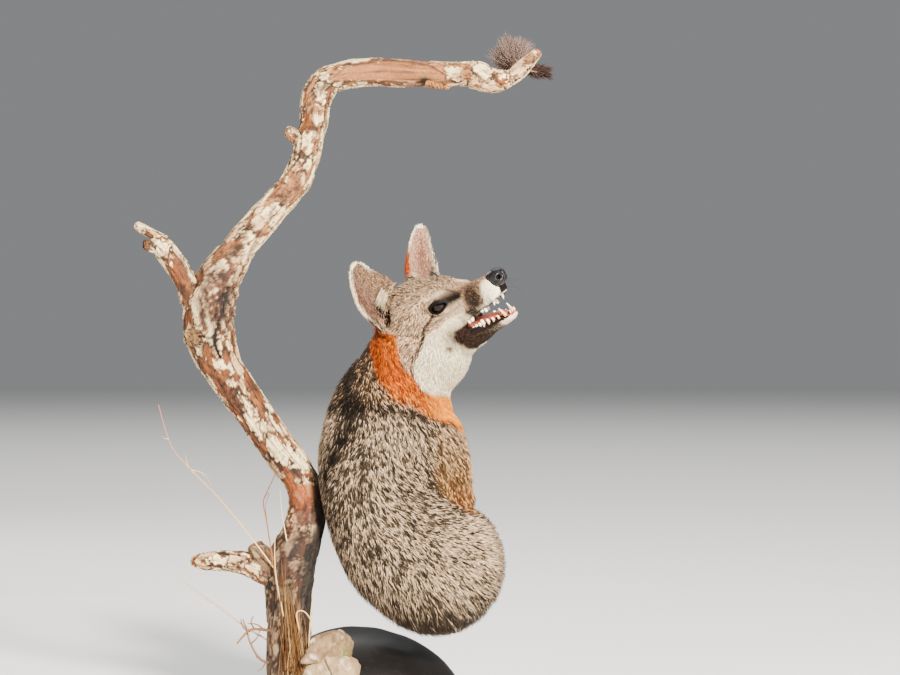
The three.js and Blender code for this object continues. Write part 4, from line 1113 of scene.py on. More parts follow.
# Each zone of the coat: its roots, its unwrap, its slot, and which roots make its right part, if it is
# split into two.
COAT_ZONES = {
    "coat_ears": (is_ear, "ear", "ear_fur", None),
    "coat_muzzle": (is_head & (root_forward > 16), "head", "grey_coat", None),
    "coat_face": (is_head & (np.abs(root_forward - 2) <= 14), "head", "grey_coat", right_cheek),
    "coat_cheek": (is_head & (root_forward < -12), "head", "grey_coat", right_cheek),
    "coat_neck": (on_trunk & (root_height > NECK_FOOT), "trunk", "orange_coat", None),
    "coat_flank": (on_flank, "trunk", "grey_coat", right_side),
    "coat_rear": (on_trunk & (root_height <= END_TOP), "end", "grey_coat", right_side),
}
for zone, (chosen, unwrap, slot, right) in COAT_ZONES.items():
    parts = {zone: chosen}
    if right is not None:
        parts = {zone + "_right": chosen & right, zone + "_left": chosen & ~right}
    for name, part in parts.items():
        picked = np.flatnonzero(part)
        faces = (np.arange(len(picked))[:, None, None] * 5 + tuft_faces[None]).reshape(-1, 3)
        points, colours = tufts[picked].reshape(-1, 3), tuft_paint[picked].reshape(-1, 3)
        piece = fitted(name, points, faces, coat_material, colours, slot)
        patch = (unwraps[unwrap][picked][:, None] + SPINDLE_PATCH[None]).reshape(-1, 2)
        uv = piece.data.uv_layers.new(name="OFBake")
        uv.data.foreach_set("uv", np.clip(patch[faces.ravel()], 0, 1).astype(np.float32).ravel())

# ---- Eyes, lids, nose and mouth -----------------------------------------------------------------
# Glass eyes lie in the orbits under dark rims. The nose is a leather pad with open nostrils. Ivory
# teeth stand in the gums around a grooved tongue, and thin whiskers grow from the upper lips.


def ball(rows, turns):
    """Directions over a ball: poles and rings between them."""
    polar = np.linspace(0, np.pi, rows + 2)[1:-1]
    turn = np.linspace(0, 2 * np.pi, turns, endpoint=False)
    polar, turn = np.meshgrid(polar, turn, indexing="ij")
    grid = np.stack([np.sin(polar) * np.cos(turn), np.sin(polar) * np.sin(turn), np.cos(polar)], -1)
    return closed(grid, [0, 0, 1], [0, 0, -1])


def painted_finish(name, roughness, coat=0.0, specular=0.5):
    """The mesh's own paint with a given gloss."""
    return finish_like(name, {
        "Roughness": roughness, "Specular IOR Level": specular, "Coat Weight": coat, "Coat Roughness": 0.05,
    }, base=coat_material)


GAZE = np.array([0.42, 0.90, 0.10])  # where an eye looks: forward, out, up
IRIS_ANGLE, PUPIL_ANGLE = 0.80, 0.34
eye_glass = painted_finish("eye_glass", 0.04, specular=0.2)
for side, name in ((-1, "eye_right"), (1, "eye_left")):
    ways, triangles = ball(44, 60)
    gaze = GAZE * [1, side, 1] / np.linalg.norm(GAZE)
    beside = np.cross(gaze, [0, 0, 1])
    off = np.stack([ways @ beside / 0.75, ways @ np.cross(beside, gaze)], -1)
    from_gaze = np.arccos(np.clip(ways @ gaze, -1, 1))
    iris = 1 - soft(from_gaze, IRIS_ANGLE - 0.08, IRIS_ANGLE)
    pupil = (1 - soft(np.linalg.norm(off, axis=1), PUPIL_ANGLE - 0.04, PUPIL_ANGLE)) * (ways @ gaze > 0)
    paint = mixed(painted(8, 5, 5), painted(22, 12, 8), iris)
    paint = mixed(paint, painted(3, 2, 2), pupil)
    points = from_head(ways * EYE_RADIUS + [0, side * EYE_OUT, 0])
    fitted(name + "_glass", points, triangles, eye_glass, paint, "glass_eye", name)

# The lids' rims: a closed tube along the almond, thicker above and at the inner corner.
wet_skin = painted_finish("wet_skin", 0.34, 0.25)
dull_skin = painted_finish("dull_skin", 0.38, specular=0.3)
lid_skin = painted_finish("lid_skin", 0.6, specular=0.12)
LID_STEPS, RIM_SIDES = 120, 12
FAR_LID_DROP = 1.2  # the left eye's rim lies lower in its orbit
turn = np.linspace(0, 2 * np.pi, LID_STEPS, endpoint=False)
lid_forward = LID_FORWARD + LID_LENGTH * np.cos(turn)
lid_up = np.where(np.sin(turn) > 0, LID_ABOVE, -LID_BELOW) * np.abs(np.sin(turn)) ** 1.25
lid_thick = (0.95 + 0.75 * soft(np.sin(turn), -0.2, 0.6)) * (1 - 0.35 * soft(np.cos(turn), 0.5, 0.9))
for side, name in ((-1, "lids_right"), (1, "lids_left")):
    lid_out = socket_out(lid_forward, lid_up) + 0.15 - 1.3 * soft(lid_forward, 5, 10)
    path = from_head(np.stack([lid_forward, side * lid_out, lid_up - FAR_LID_DROP * (side > 0)], -1))
    ahead = np.roll(path, -1, 0) - np.roll(path, 1, 0)
    ahead /= np.linalg.norm(ahead, axis=1, keepdims=True)
    across = np.cross(ahead, HEAD_AXES[1] * side)
    across /= np.linalg.norm(across, axis=1, keepdims=True)
    above = np.cross(ahead, across)
    around = np.linspace(0, 2 * np.pi, RIM_SIDES, endpoint=False)[None, :, None]
    ring = across[:, None] * np.cos(around) + above[:, None] * np.sin(around) * 0.8
    points = (path[:, None] + ring * lid_thick[:, None, None]).reshape(-1, 3)
    i, k = np.meshgrid(np.arange(LID_STEPS), np.arange(RIM_SIDES), indexing="ij")
    here, next_ring = i * RIM_SIDES, (i + 1) % LID_STEPS * RIM_SIDES
    a, b = here + k, here + (k + 1) % RIM_SIDES
    c, d = next_ring + (k + 1) % RIM_SIDES, next_ring + k
    triangles = np.concatenate([np.stack([a, b, c], -1), np.stack([a, c, d], -1)]).reshape(-1, 3)
    fitted(name, points, facing_out(points, triangles), lid_skin, painted(10, 7, 7), "nose_leather")

# The nose: a boxy pad with a dent on each side for the nostril, a slit behind it and a middle groove.
NOSE_MIDDLE = np.array([57.6, 0, -0.9])
NOSE_HALF = np.array([8.7, 8.5, 8.2])
NOSTRIL = np.array([0.80, 0.52, 0.02])
ways, triangles = ball(84, 116)
reach = (np.abs(ways) ** 2.5).sum(axis=1) ** (-1 / 2.5)
shape = ways * reach[:, None]
mirrored = np.stack([shape[:, 0], np.abs(shape[:, 1]), shape[:, 2]], -1)
dent_gap = np.linalg.norm((mirrored - NOSTRIL) / [1, 1.2, 0.85], axis=1)
dent = 1 - soft(dent_gap, 0.10, 0.33)
wing = near(dent_gap, 0.42, 0.11)
slit = near(line_distance(mirrored[:, 1], mirrored[:, 2], [(0.55, -0.05), (0.95, -0.35)]), 0, 0.10)
slit *= soft(mirrored[:, 0], 0, 0.3)
groove = near(shape[:, 1], 0, 0.09) * soft(shape[:, 0], 0.2, 0.6) * (1 - soft(shape[:, 2], 0.0, 0.5))
inward = 0.42 * dent + 0.10 * slit + 0.10 * groove - 0.05 * wing
points = from_head(NOSE_MIDDLE + NOSE_HALF * shape * (1 - inward)[:, None])
pebbles = ripple(points, 1.6, 51) * (1 - dent)
# The nose is painted lighter around each nostril's wing, a painted highlight, and near black in the nostrils
# and slits, a painted shade in the holes.
paint = mixed(painted(10, 8, 9), painted(34, 30, 32), 0.3 * pebbles + 0.3 * wing)
paint = mixed(paint, painted(3, 2, 2), np.maximum(dent, 0.7 * slit))
fitted("nose_pad", points, triangles, dull_skin, np.clip(paint, 0, 1), "nose_leather", "nose")


def strands(starts, controls, ends, width, rings=5, sides=3, tip_share=0.35):
    """Closed thin strands along bent paths from start to end, tapering to a point at both."""
    count = len(starts)
    t = np.linspace(0, 1, rings + 2)[None, :, None]
    path = starts[:, None] * (1 - t) ** 2 + controls[:, None] * 2 * t * (1 - t) + ends[:, None] * t**2
    run = ends - starts
    side = np.cross(run, [0.31, -0.87, 0.38])
    side /= np.linalg.norm(side, axis=1, keepdims=True)
    up = np.cross(run, side)
    up /= np.linalg.norm(up, axis=1, keepdims=True)
    turn = np.arange(sides) * 2 * np.pi / sides
    ring = side[:, None] * np.cos(turn)[None, :, None] + up[:, None] * np.sin(turn)[None, :, None]
    thick = (np.asarray(width) * np.ones(count))[:, None] / 2 * np.linspace(1, tip_share, rings)[None]
    body = path[:, 1:-1, None] + ring[:, None] * thick[:, :, None, None]
    points = np.concatenate([path[:, :1], body.reshape(count, -1, 3), path[:, -1:]], 1)
    first, k = np.arange(sides), (np.arange(sides) + 1) % sides
    faces = [np.stack([np.zeros(sides, int), 1 + k, 1 + first], -1)]
    for n in range(rings - 1):
        low, high = 1 + sides * n, 1 + sides * (n + 1)
        faces.append(np.stack([low + first, low + k, high + k], -1))
        faces.append(np.stack([low + first, high + k, high + first], -1))
    last = 1 + sides * (rings - 1)
    faces.append(np.stack([last + first, last + k, np.full(sides, sides * rings + 1)], -1))
    faces = facing_out(points[0], np.vstack(faces))
    stride = sides * rings + 2
    triangles = (np.arange(count)[:, None, None] * stride + faces[None]).reshape(-1, 3)
    return points.reshape(-1, 3), triangles, stride


# Each tooth's root, tip and thickness on the left side, in head places: first the pointed teeth in
# front, then the blunter ones along the cheeks.
TEETH = [
    [[47.8, 6.2, -12.5], [46.2, 7.4, -22.0], 4.4], [[50.2, 5.2, -35.5], [47.2, 6.4, -25.0], 3.6],
    [[53.6, 1.3, -10.5], [53.8, 1.4, -15.6], 1.9], [[52.4, 3.4, -10.5], [52.6, 3.6, -16.0], 2.1],
    [[55.0, 1.2, -34.5], [55.4, 1.2, -30.4], 1.7], [[54.4, 3.2, -34.6], [54.7, 3.4, -30.6], 1.9],
]
MOLARS = [
    [[41.5, 7.8, -14.5], [41.7, 8.2, -18.8], 2.8], [[36.4, 9.0, -15.5], [36.4, 9.4, -24.0], 4.2],
    [[33.0, 9.6, -15.5], [32.8, 10.0, -22.6], 4.2], [[25.6, 11.2, -16.0], [25.6, 11.6, -21.4], 4.4],
    [[20.2, 12.4, -18.0], [20.0, 12.9, -26.0], 5.0], [[16.6, 12.8, -19.0], [16.4, 13.3, -26.4], 4.6],
    [[43.0, 6.6, -34.5], [42.8, 7.2, -30.0], 2.6], [[37.5, 7.7, -34.5], [37.3, 8.3, -29.6], 3.0],
    [[32.2, 8.7, -35.0], [32.0, 9.3, -29.0], 3.5], [[26.8, 9.7, -35.2], [26.6, 10.2, -27.4], 4.2],
    [[23.4, 10.2, -35.2], [23.3, 10.7, -28.8], 4.2], [[19.6, 10.9, -35.4], [19.6, 11.4, -29.2], 4.2],
    [[16.2, 11.3, -35.6], [16.2, 11.8, -29.8], 3.8],
]
tooth_parts, tooth_shares = [], []
for teeth, tip_share, lean in ((TEETH, 0.26, 1.1), (MOLARS, 0.62, 0.3)):
    foot, tip, thick = (np.array([tooth[n] for tooth in teeth]) for n in range(3))
    foot, tip = (np.vstack([places, places * [1, -1, 1]]) for places in (foot, tip))
    middle = (foot + tip) / 2 + [lean, 0, 0]
    points, triangles, stride = strands(
        from_head(foot), from_head(middle), from_head(tip), np.tile(thick, 2), 8, 10, tip_share,
    )
    tooth_parts.append((points, triangles))
    tooth_shares.append(np.tile(np.clip((np.arange(stride) - 1) // 10 / 8, 0, 1), len(foot)))
points, triangles = together(*tooth_parts)
share = np.concatenate(tooth_shares)
paint = mixed(painted(190, 142, 88), painted(250, 236, 206), soft(share, 0.1, 0.8))
enamel = painted_finish("enamel", 0.22, 0.4)
fitted("teeth", points, triangles, enamel, paint, "")

# The gums: a low wall along each row, under the teeth.
GUMS = [
    [
        [50.5, 4.0, -12.5, 2.0, 1.8], [46, 6.4, -13.5, 2.0, 1.8], [36, 9.2, -15.2, 2.0, 1.9],
        [18, 12.6, -18.6, 2.2, 2.0],
    ],
    [
        [52.5, 2.4, -36.0, 1.5, 1.6], [48, 4.2, -36.0, 1.5, 1.6], [38, 6.6, -36.0, 1.7, 1.7],
        [16, 10.4, -37.0, 1.9, 1.8],
    ],
]
gum_parts = []
for row in GUMS:
    for side in (-1, 1):
        stations = [[*from_head([f, side * out, up]), wide, deep] for f, out, up, wide, deep in row]
        gum_parts.append(swept(stations, 40, 14, 2, (1.5, 1.5)))
points, triangles = together(*gum_parts)
paint = mixed(painted(146, 58, 48), painted(84, 32, 28), 0.5 + 0.5 * ripple(points, 6, 52))
fitted("gums", points, triangles, wet_skin, paint, "tongue")

# The tongue: stations along its middle: forward, top, bottom, half width.
TONGUE = [
    [4, -25, -33, 9.5], [18, -26.6, -33.5, 8.8], [32, -28.0, -33.5, 7.6], [42, -29.4, -33.4, 6.0],
    [48, -31.0, -33.6, 3.4],
]
u = np.linspace(0, len(TONGUE) - 1, 60)
tongue_forward, top, bottom, wide = along(TONGUE, u).T
angle = np.linspace(0, 2 * np.pi, 48, endpoint=False)
across, lift = power(np.cos(angle), 0.9), power(np.sin(angle), 0.9)
height = ((top + bottom) / 2)[:, None] + ((top - bottom) / 2)[:, None] * lift[None]
height = height - 1.1 * near(across, 0, 0.22)[None] * (lift > 0)[None]
grid = np.stack([
    np.broadcast_to(tongue_forward[:, None], height.shape), wide[:, None] * across[None], height,
], -1)
points, triangles = closed(grid, [2, 0, -29], [50, 0, -32.4])
points = from_head(points)
paint = mixed(painted(168, 84, 70), painted(110, 46, 38), 0.5 + 0.5 * ripple(points, 4, 53))
fitted("tongue_wet", points, triangles, wet_skin, paint, "tongue", "tongue")

# Whiskers: from the upper lips forward, out and down.
whisker_source = np.random.default_rng(17)
rows = []
for side in (-1, 1):
    for n in range(11):
        start = np.array([52 - 1.9 * n, side * (8.2 + 0.35 * n), -5.5 - 2.4 * (n % 3)])
        way = np.array([0.62 - 0.10 * n, side * (0.85 + 0.05 * n), -0.42 - 0.12 * (n % 3)])
        way = way / np.linalg.norm(way) * whisker_source.uniform(14, 24)
        rows.append([start, start + way * 0.55 + [1.0, 0, 2.0], start + way + [-2.0, 0, -2.5]])
starts, bends, ends = from_head(np.array(rows)).transpose(1, 0, 2)
points, triangles, _ = strands(starts, bends, ends, 0.30, 7)
fitted("whiskers", points, triangles, coat_material, painted(34, 28, 30), "")

# Long pale hair from each ear's inner edge sweeps out over the cup, and finer hair lines the edges.
EAR_HAIRS = 230
ear_source = np.random.default_rng(23)
hair_parts, hair_paint = [], []
for side in (-1, 1):
    u = np.concatenate([ear_source.uniform(0.0, 0.7, EAR_HAIRS), ear_source.uniform(0.4, 4.6, EAR_HAIRS)])
    inner_s = ear_source.uniform(0.42, 0.72, EAR_HAIRS)
    s = np.concatenate([inner_s, -ear_source.uniform(0.84, 0.98, EAR_HAIRS)])
    start = ear_surface(side, u, s, np.zeros(len(u)))
    end_u = np.minimum(u + np.where(s > 0, 0.15, 0.65), 5)
    end = ear_surface(side, end_u, np.where(s > 0, s - 0.65, s + 0.6), np.zeros(len(u)))
    open_way = start - ear_surface(side, u, s * 0.2, np.ones(len(u)))
    open_way /= np.linalg.norm(open_way, axis=1, keepdims=True)
    reach = ear_source.uniform(0.45, 1.15, len(u))[:, None] * np.where(s > 0, 0.9, 0.4)[:, None]
    end = start + (end - start) * reach + open_way * 1.6 + ear_source.normal(0, 0.7, (len(u), 3))
    middle = (start + end) / 2 + open_way * 1.8
    points, triangles, stride = strands(from_head(start), from_head(middle), from_head(end), 0.32, 4)
    # Each strand's tone lies at random between cream and brown; the brown is partly a painted shade among the
    # hairs.
    tone = np.repeat(ear_source.uniform(0, 1, len(u)), stride)[:, None]
    hair_parts.append((points, triangles))
    hair_paint.append(painted(252, 232, 192) * (1 - tone) + painted(96, 66, 46) * tone)
points, triangles = together(*hair_parts)
fitted("ear_hair", points, triangles, coat_material, np.vstack(hair_paint), "ear_fur")

# ---- Branch and its limbs -----------------------------------------------------------------------
# A dead juniper branch: cream plates of weathered bark over orange inner bark, greyer and rougher
# near its foot, with a long bare scar on its upper arm. The limbs and the sawn knot grow out of it.

BRANCH = [
    [-52, -4, 18, 23, 22], [-54, -4, 60, 20.5, 20], [-55, 0, 110, 20, 20], [-54, 4, 150, 22, 21],
    [-43, 8, 182, 18.5, 18], [-39, 11, 208, 16.5, 16.5], [-45, 12, 230, 16, 16],
    [-68, 12, 261, 16.5, 16], [-92, 10, 296, 16.5, 16], [-115, 5, 331, 18.5, 18],
    [-126, 0, 362, 22.5, 20], [-123, -1, 398, 22, 20], [-102.5, 2, 435, 15.5, 15.5],
    [-73.5, 9, 471, 13.5, 13], [-47.5, 13, 503, 13, 12.6], [-35, 9, 545, 12.8, 12.6],
    [-30, 6, 575, 13.5, 13], [-16, 6, 591.5, 12.5, 12], [20, 3, 597, 12.6, 11],
    [66, -4, 594, 11.8, 11], [99, -9, 593.5, 10.8, 10.5], [114, -12, 592, 13, 12],
    [126, -14, 588, 11.5, 10], [144, -13, 589.5, 7.2, 7.5], [158, -10, 602.5, 6, 6],
    [168, -8, 613.5, 4.2, 4.4],
]
# Each limb: its stations, how far its round end reaches, and its rings and sides.
LIMBS = {
    "limb_left": (
        [[-127, -2, 366, 16, 14], [-139, -4, 390, 12, 12], [-150, -7, 414, 10.4, 10],
         [-163, -10, 433, 10.6, 10], [-171, -12, 443, 8.4, 8], [-174, -12, 446, 6, 6]],
        1.5, 110, 56,
    ),
    "limb_low": (
        [[-56, 2, 142, 13, 14], [-74, 1, 146, 12.5, 12], [-92, -2, 154, 11, 10.5],
         [-112, -6, 158, 9.8, 9.6], [-130, -9, 157.5, 8, 8], [-140, -11, 158, 4.6, 5]],
        2.5, 100, 56,
    ),
    "knob_low": ([[-72, 0, 152, 12, 11], [-82, -3, 165, 10, 9], [-85, -4, 172, 7, 7]], 1.5, 40, 44),
    "knot_cut": (
        [[-130, -6, 358, 9, 9], [-137, -16, 358, 8.4, 8.4], [-141, -24, 358, 7.8, 7.8]], 0.4, 44, 44,
    ),
    "knot_high": ([[-40, 8, 533, 8.5, 8.5], [-50, 6, 539, 6.6, 6.6], [-57, 4, 544.5, 5, 5]], 1.2, 36, 36),
    "knob_left": ([[-166, -12, 440, 6.5, 6], [-177, -17, 440, 6.4, 6], [-183, -20, 441, 5, 5]], 1.0, 36, 32),
    "twig_left": ([[-165, -9, 444, 5, 4.5], [-178, -11, 451, 4, 4], [-190, -12, 458, 3.4, 3.4]], 2.0, 46, 28),
}
LIMB_SQUARE = 2.2
PLATE_LONG, PLATE_WIDE = 22.0, 6.2  # a bark plate's usual length and width
FLAKE_WIDE = 2.9
BARK_CREAM = painted(226, 202, 152)
BARK_PALE = painted(168, 128, 92)
BARK_ORANGE = painted(126, 70, 26)
BARK_RED = painted(60, 30, 12)
BARK_GREY = painted(92, 70, 52)
BARK_BROWN = painted(36, 24, 15)
BARK_CRACK = painted(14, 8, 5)
SCAR_TAN = painted(136, 88, 50)
BARK_TAN = painted(158, 108, 66)
GNARL_BROWN = painted(86, 54, 36)
GNARL_DARK = painted(34, 18, 11)
CRACK_AND_SHADOW_BLACK = painted(12, 8, 6)
HOLLOW_SHADE_BLACK = painted(18, 10, 7)
PATCH_RED = painted(136, 68, 24)
PATCH_RED_DEEP = painted(64, 26, 10)
SCAR_RIM = painted(64, 34, 18)
DIRT_BROWN = painted(58, 42, 32)
SAWN_EDGE = painted(24, 15, 10)
SAWN_WOOD = painted(120, 86, 50)
YEAR_RING = painted(48, 30, 18)
KNOB_BROWN = painted(84, 58, 34)
# The cracks at the crotch, seen from the front: down through it, and from its left side into it.
CROTCH_CRACK = [(-107, 402), (-111, 380), (-118.5, 362), (-121, 357), (-118, 346), (-115, 339)]
SIDE_CRACK = [(-135, 360), (-128, 357), (-120, 357.5)]
# The scar on the arm, seen from its front: along the arm, its upper and its lower edge.
SCAR_X = [-17, 0, 36, 72, 86]
SCAR_TOP = [590, 602, 606.5, 601, 592]
SCAR_FOOT = [588, 588.5, 587.5, 584, 587]


def bark_cells(places, size, seed):
    """Cells of the given size in the wood's own space: the gap to the next one, and two random numbers."""
    source = np.random.default_rng(seed)
    low, high = places.min(axis=0) - 3, places.max(axis=0) + 3
    count = int(np.prod(high - low) / size**3)
    seeds = source.uniform(low, high, (count, 3))
    tree = kdtree.KDTree(count)
    for number, place in enumerate(seeds):
        tree.insert(place, number)
    tree.balance()
    found = [tree.find_n(place, 2) for place in places]
    first = np.array([pair[0][2] for pair in found])
    gap = np.array([pair[1][2] for pair in found]) - first
    number = np.array([pair[0][1] for pair in found])
    return gap, source.uniform(0, 1, count)[number], source.uniform(0, 1, count)[number]


def barked(stations, round_end, rings, sides, seed):
    """A limb with its bark: the swept form moved out and in by plates, cracks and fibres, and its paint."""
    points, triangles = swept(stations, rings, sides, LIMB_SQUARE, (0, round_end))
    normals = vertex_normals(points, triangles)
    stops = np.asarray(stations, float)
    run = np.concatenate([[0], np.cumsum(np.linalg.norm(np.diff(stops[:, :3], axis=0), axis=1))])
    centres = along(stations, np.linspace(0, len(stations) - 1, rings))[:, :3]
    ring_run = np.interp(np.linspace(0, len(stations) - 1, rings), np.arange(len(stations)), run)
    ring = np.minimum(np.arange(len(points)) // sides, rings - 1)
    ring[-2:] = [0, rings - 1]
    out = points - centres[ring]
    length = ring_run[ring]
    places = np.stack([length * PLATE_WIDE / PLATE_LONG, out @ [0.5, 0, -0.86] + out[:, 2], out[:, 1]], -1)
    places = places + 0.8 * np.stack([ripple(points, 17, seed + n) for n in range(3)], -1)
    places = places + 0.5 * np.stack([ripple(points, 4.5, seed + 3 + n) for n in range(3)], -1)
    gap, kind, shade = bark_cells(places, PLATE_WIDE, seed)
    flake_gap, flake, flake_shade = bark_cells(places, FLAKE_WIDE, seed + 19)
    x, y, z = points.T

    weathered = (1 - soft(z, 176, 204)) * soft(x, -84, -72)
    lay = np.stack([length, out[:, 0] + out[:, 2], out[:, 1]], -1)  # along and across the wood's grain
    fibre = ripple(lay * [0.10, 1, 1], 2.6, seed + 7)
    seam = 1 - soft(gap, 0.14, 0.70)
    flake_seam = (1 - soft(flake_gap, 0.08, 0.4)) * (flake_shade > 0.55)
    kept = (kind < 0.66 + 0.12 * weathered) & (flake > 0.13) | (flake > 0.9)
    kept = kept * soft(gap, 0.15, 0.7)
    bare = mixed(BARK_ORANGE, BARK_RED, 0.42 + 0.45 * ripple(points, 18, seed + 8) + 0.35 * fibre)
    plate = mixed(BARK_CREAM, BARK_PALE, (shade > 0.62) * 0.6 + 0.35 * flake_shade)
    plate = mixed(plate, BARK_GREY, weathered * 0.85)
    bare = mixed(bare, BARK_TAN, 0.75 * soft(z, 400, 470) * soft(shade, 0.1, 0.5))
    bare = mixed(bare, BARK_BROWN, weathered * 0.8)
    bare = mixed(bare, BARK_BROWN, 0.75 * soft(ripple(points, 9, seed + 5) + 0.5 * fibre, 0.2, 1.1))
    paint = bare + (plate - bare) * kept[:, None]
    paint = mixed(paint, BARK_RED, flake_seam * 0.75)
    seam_depth = 0.4 + 0.6 * soft(ripple(points, 12, seed + 9), -0.5, 0.4)
    paint = mixed(paint, BARK_CRACK, seam * 0.9 * seam_depth)
    split = soft(ripple(lay * [0.05, 1, 1], 3.4, seed + 18), 0.9, 1.5) * (0.6 + 0.4 * weathered)
    paint = mixed(paint, BARK_CRACK, split * 0.75)
    strand = ripple(lay * [0.07, 1, 1], 1.9, seed + 6)
    strand = soft(strand + 0.3 * ripple(points, 14, seed + 21), 0.45, 1.2)
    paint = mixed(paint, BARK_BROWN, strand * (0.5 + 0.25 * weathered))
    paint = paint * (1 + 0.16 * fibre + 0.06 * ripple(points, 3, seed + 16))[:, None]
    rise = 0.85 * kept - 0.35 * strand - 0.55 * seam + 0.16 * fibre - 0.5 * split
    rise = rise + 0.7 * ripple(points, 26, seed + 10)

    # The crotch is gnarled, with a deep crack down through it.
    gnarl = np.clip(1.5 * near(x, -117, 18) * near(z, 393, 27), 0, 1) * (y < 8)
    upright = points * [1, 1, 0.4]
    lumps = 0.7 * ripple(upright, 7, seed + 11) + 0.6 * ripple(upright, 3.2, seed + 17)
    rise = rise + gnarl * (1.7 * lumps - 0.5)
    paint = mixed(paint, GNARL_BROWN, gnarl * 0.85)
    paint = mixed(paint, BARK_CREAM, gnarl * soft(lumps, 0.5, 1.0) * 0.55)
    paint = mixed(paint, GNARL_DARK, gnarl * soft(-lumps, -0.25, 0.4) * 0.95)
    crack_line = line_distance(x, z, CROTCH_CRACK)
    side_crack = line_distance(x, z, SIDE_CRACK) + 0.5
    crack_line = np.minimum(crack_line, side_crack) + 0.5 * ripple(points, 5, seed + 22)
    crack = (1 - soft(crack_line, 0.9, 2.3)) * (y < 0)
    rise = rise - 3.4 * crack
    paint = mixed(paint, CRACK_AND_SHADOW_BLACK, crack)

    # Below the fox's back the bark is off in one smooth red patch.
    patch = soft(x + 0.35 * (z - 205), -54, -50) * (1 - soft(x, -27, -22)) * soft(z, 188, 190.5)
    patch *= (1 - soft(z, 222, 240)) * (y < 4)
    patch = patch * soft(ripple(points, 20, seed + 12) + 1.4, 0.3, 0.7)
    lower = 1 - soft(z + 8 * fibre, 196, 226)
    red = mixed(PATCH_RED, PATCH_RED_DEEP, lower)
    paint = paint + (red - paint) * (patch * 0.88)[:, None]
    rise = rise * (1 - 0.8 * patch)

    # Where the fox's back touches and below, the side turned to it is painted dark: a painted shadow cast by
    # the fox.
    fox_shadow_edge = np.interp(z, [80, 122, 160, 190, 235, 262], [-37, -46, -43, -33, -36, -28])
    fox_shadow = soft(x - fox_shadow_edge + 2 * fibre, -2, 5) * (1 - soft(z, 240, 266)) * (x > -60)
    paint = mixed(paint, CRACK_AND_SHADOW_BLACK, fox_shadow * 0.92)

    # The arm's scar is bare smooth wood inside a raised rim of bark.
    top_gap = np.interp(x, SCAR_X, SCAR_TOP) - z
    foot_gap = z - np.interp(x, SCAR_X, SCAR_FOOT)
    scar_gap = np.minimum(top_gap, foot_gap)
    scar = soft(scar_gap, -0.2, 1.0) * (y < 2) * (z > 560) * (x > -17) * (x < 86)
    rim = near(scar_gap, -0.4, 0.8) * (y < 2) * (z > 575) * (x > -15) * (x < 84)
    tan = SCAR_TAN * (1 + 0.07 * ripple(points * [0.12, 1, 1], 5, seed + 13))[:, None]
    paint = paint + (tan - paint) * scar[:, None]
    paint = mixed(paint, SCAR_RIM, rim * 0.95)
    # A small hollow near the scar's end is sunk and painted near black: a painted shade in the hollow.
    hollow = near(x, 67, 6) * near(z, 586.5, 3.6) * (y < 0)
    paint, rise = mixed(paint, HOLLOW_SHADE_BLACK, 1.4 * hollow), rise - 2.2 * hollow
    rise = rise * (1 - scar) - 1.1 * scar + 0.5 * rim

    # Dirt lies around the foot.
    dirt = ripple(points, 5, seed + 14) + 0.3 * ripple(points, 2.5, seed + 15)
    dirt = (1 - soft(z, 60, 84)) * soft(dirt, -0.3, 0.5)
    paint = np.clip(mixed(paint, DIRT_BROWN, dirt * 0.8), 0, 1)
    rise[-2:] = 0
    grain = np.stack([length * 0.10, out[:, 0] * 0.6 + out[:, 2], out[:, 1]], -1)
    return points + normals * (rise - 0.5)[:, None], triangles, paint, grain * (1 - 0.6 * scar)[:, None]


def add_node(material, kind, settings, values, wires):
    """Adds a node of a kind with its settings, its sockets' constant values and its wires."""
    node = material.node_tree.nodes.new("ShaderNode" + kind)
    for setting, value in settings.items():
        setattr(node, setting, value)
    return joined(material, node, values, wires)


def ramped(material, source, low, low_colour, high, high_colour):
    """A ramp over a node's output, from one colour to another."""
    ramp = add_node(material, "ValToRGB", {}, {}, {"Fac": source})
    for element, place, colour in zip(ramp.color_ramp.elements, (low, high), (low_colour, high_colour)):
        element.position = place
        element.color = (*colour, 1)
    return ramp.outputs["Color"]


def noise_over(material, source, scale, detail, roughness=0.5):
    """The value of a noise over a node's output."""
    values = {"Scale": scale, "Detail": detail, "Roughness": roughness}
    return add_node(material, "TexNoise", {}, values, {"Vector": source}).outputs["Fac"]


def bumped(material, source, strength, distance):
    """The normal of a bump with its height from a node's output."""
    values = {"Strength": strength, "Distance": distance}
    return add_node(material, "Bump", {}, values, {"Height": source}).outputs["Normal"]


def blended(material, mode, factor, first, second):
    """Two colours blended in a mode."""
    settings = {"data_type": "RGBA", "blend_type": mode}
    mix = add_node(material, "Mix", settings, {"Factor": factor}, {"A": first, "B": second})
    return mix.outputs["Result"]


def bark_finish(name, roughness, fibrous=False):
    """Paint from the mesh, broken up by fine noise as colour and bump, and by dark fibres along the grain."""
    material = finish_like(name, {"Roughness": roughness, "Specular IOR Level": 0.3})
    where = add_node(material, "TexCoord", {}, {}, {}).outputs["Object"]
    paint = add_node(material, "Attribute", {"attribute_name": "paint"}, {}, {}).outputs["Color"]
    noise = noise_over(material, where, 620, 6)
    colour = blended(material, "OVERLAY", 0.55, paint, noise)
    if fibrous:
        grain = add_node(material, "Attribute", {"attribute_name": "grain"}, {}, {}).outputs["Vector"]
        fibres = noise_over(material, grain, 0.42, 5, 0.65)
        fibre_colour = ramped(material, fibres, 0.36, painted(96, 70, 52), 0.50, (1, 1, 1))
        colour = blended(material, "MULTIPLY", 0.85, colour, fibre_colour)
    wires = {"Base Color": colour, "Normal": bumped(material, noise, 0.6, 0.0006)}
    joined(material, material.node_tree.nodes["Principled BSDF"], {}, wires)
    return material


bark = bark_finish("bark", 0.8, fibrous=True)


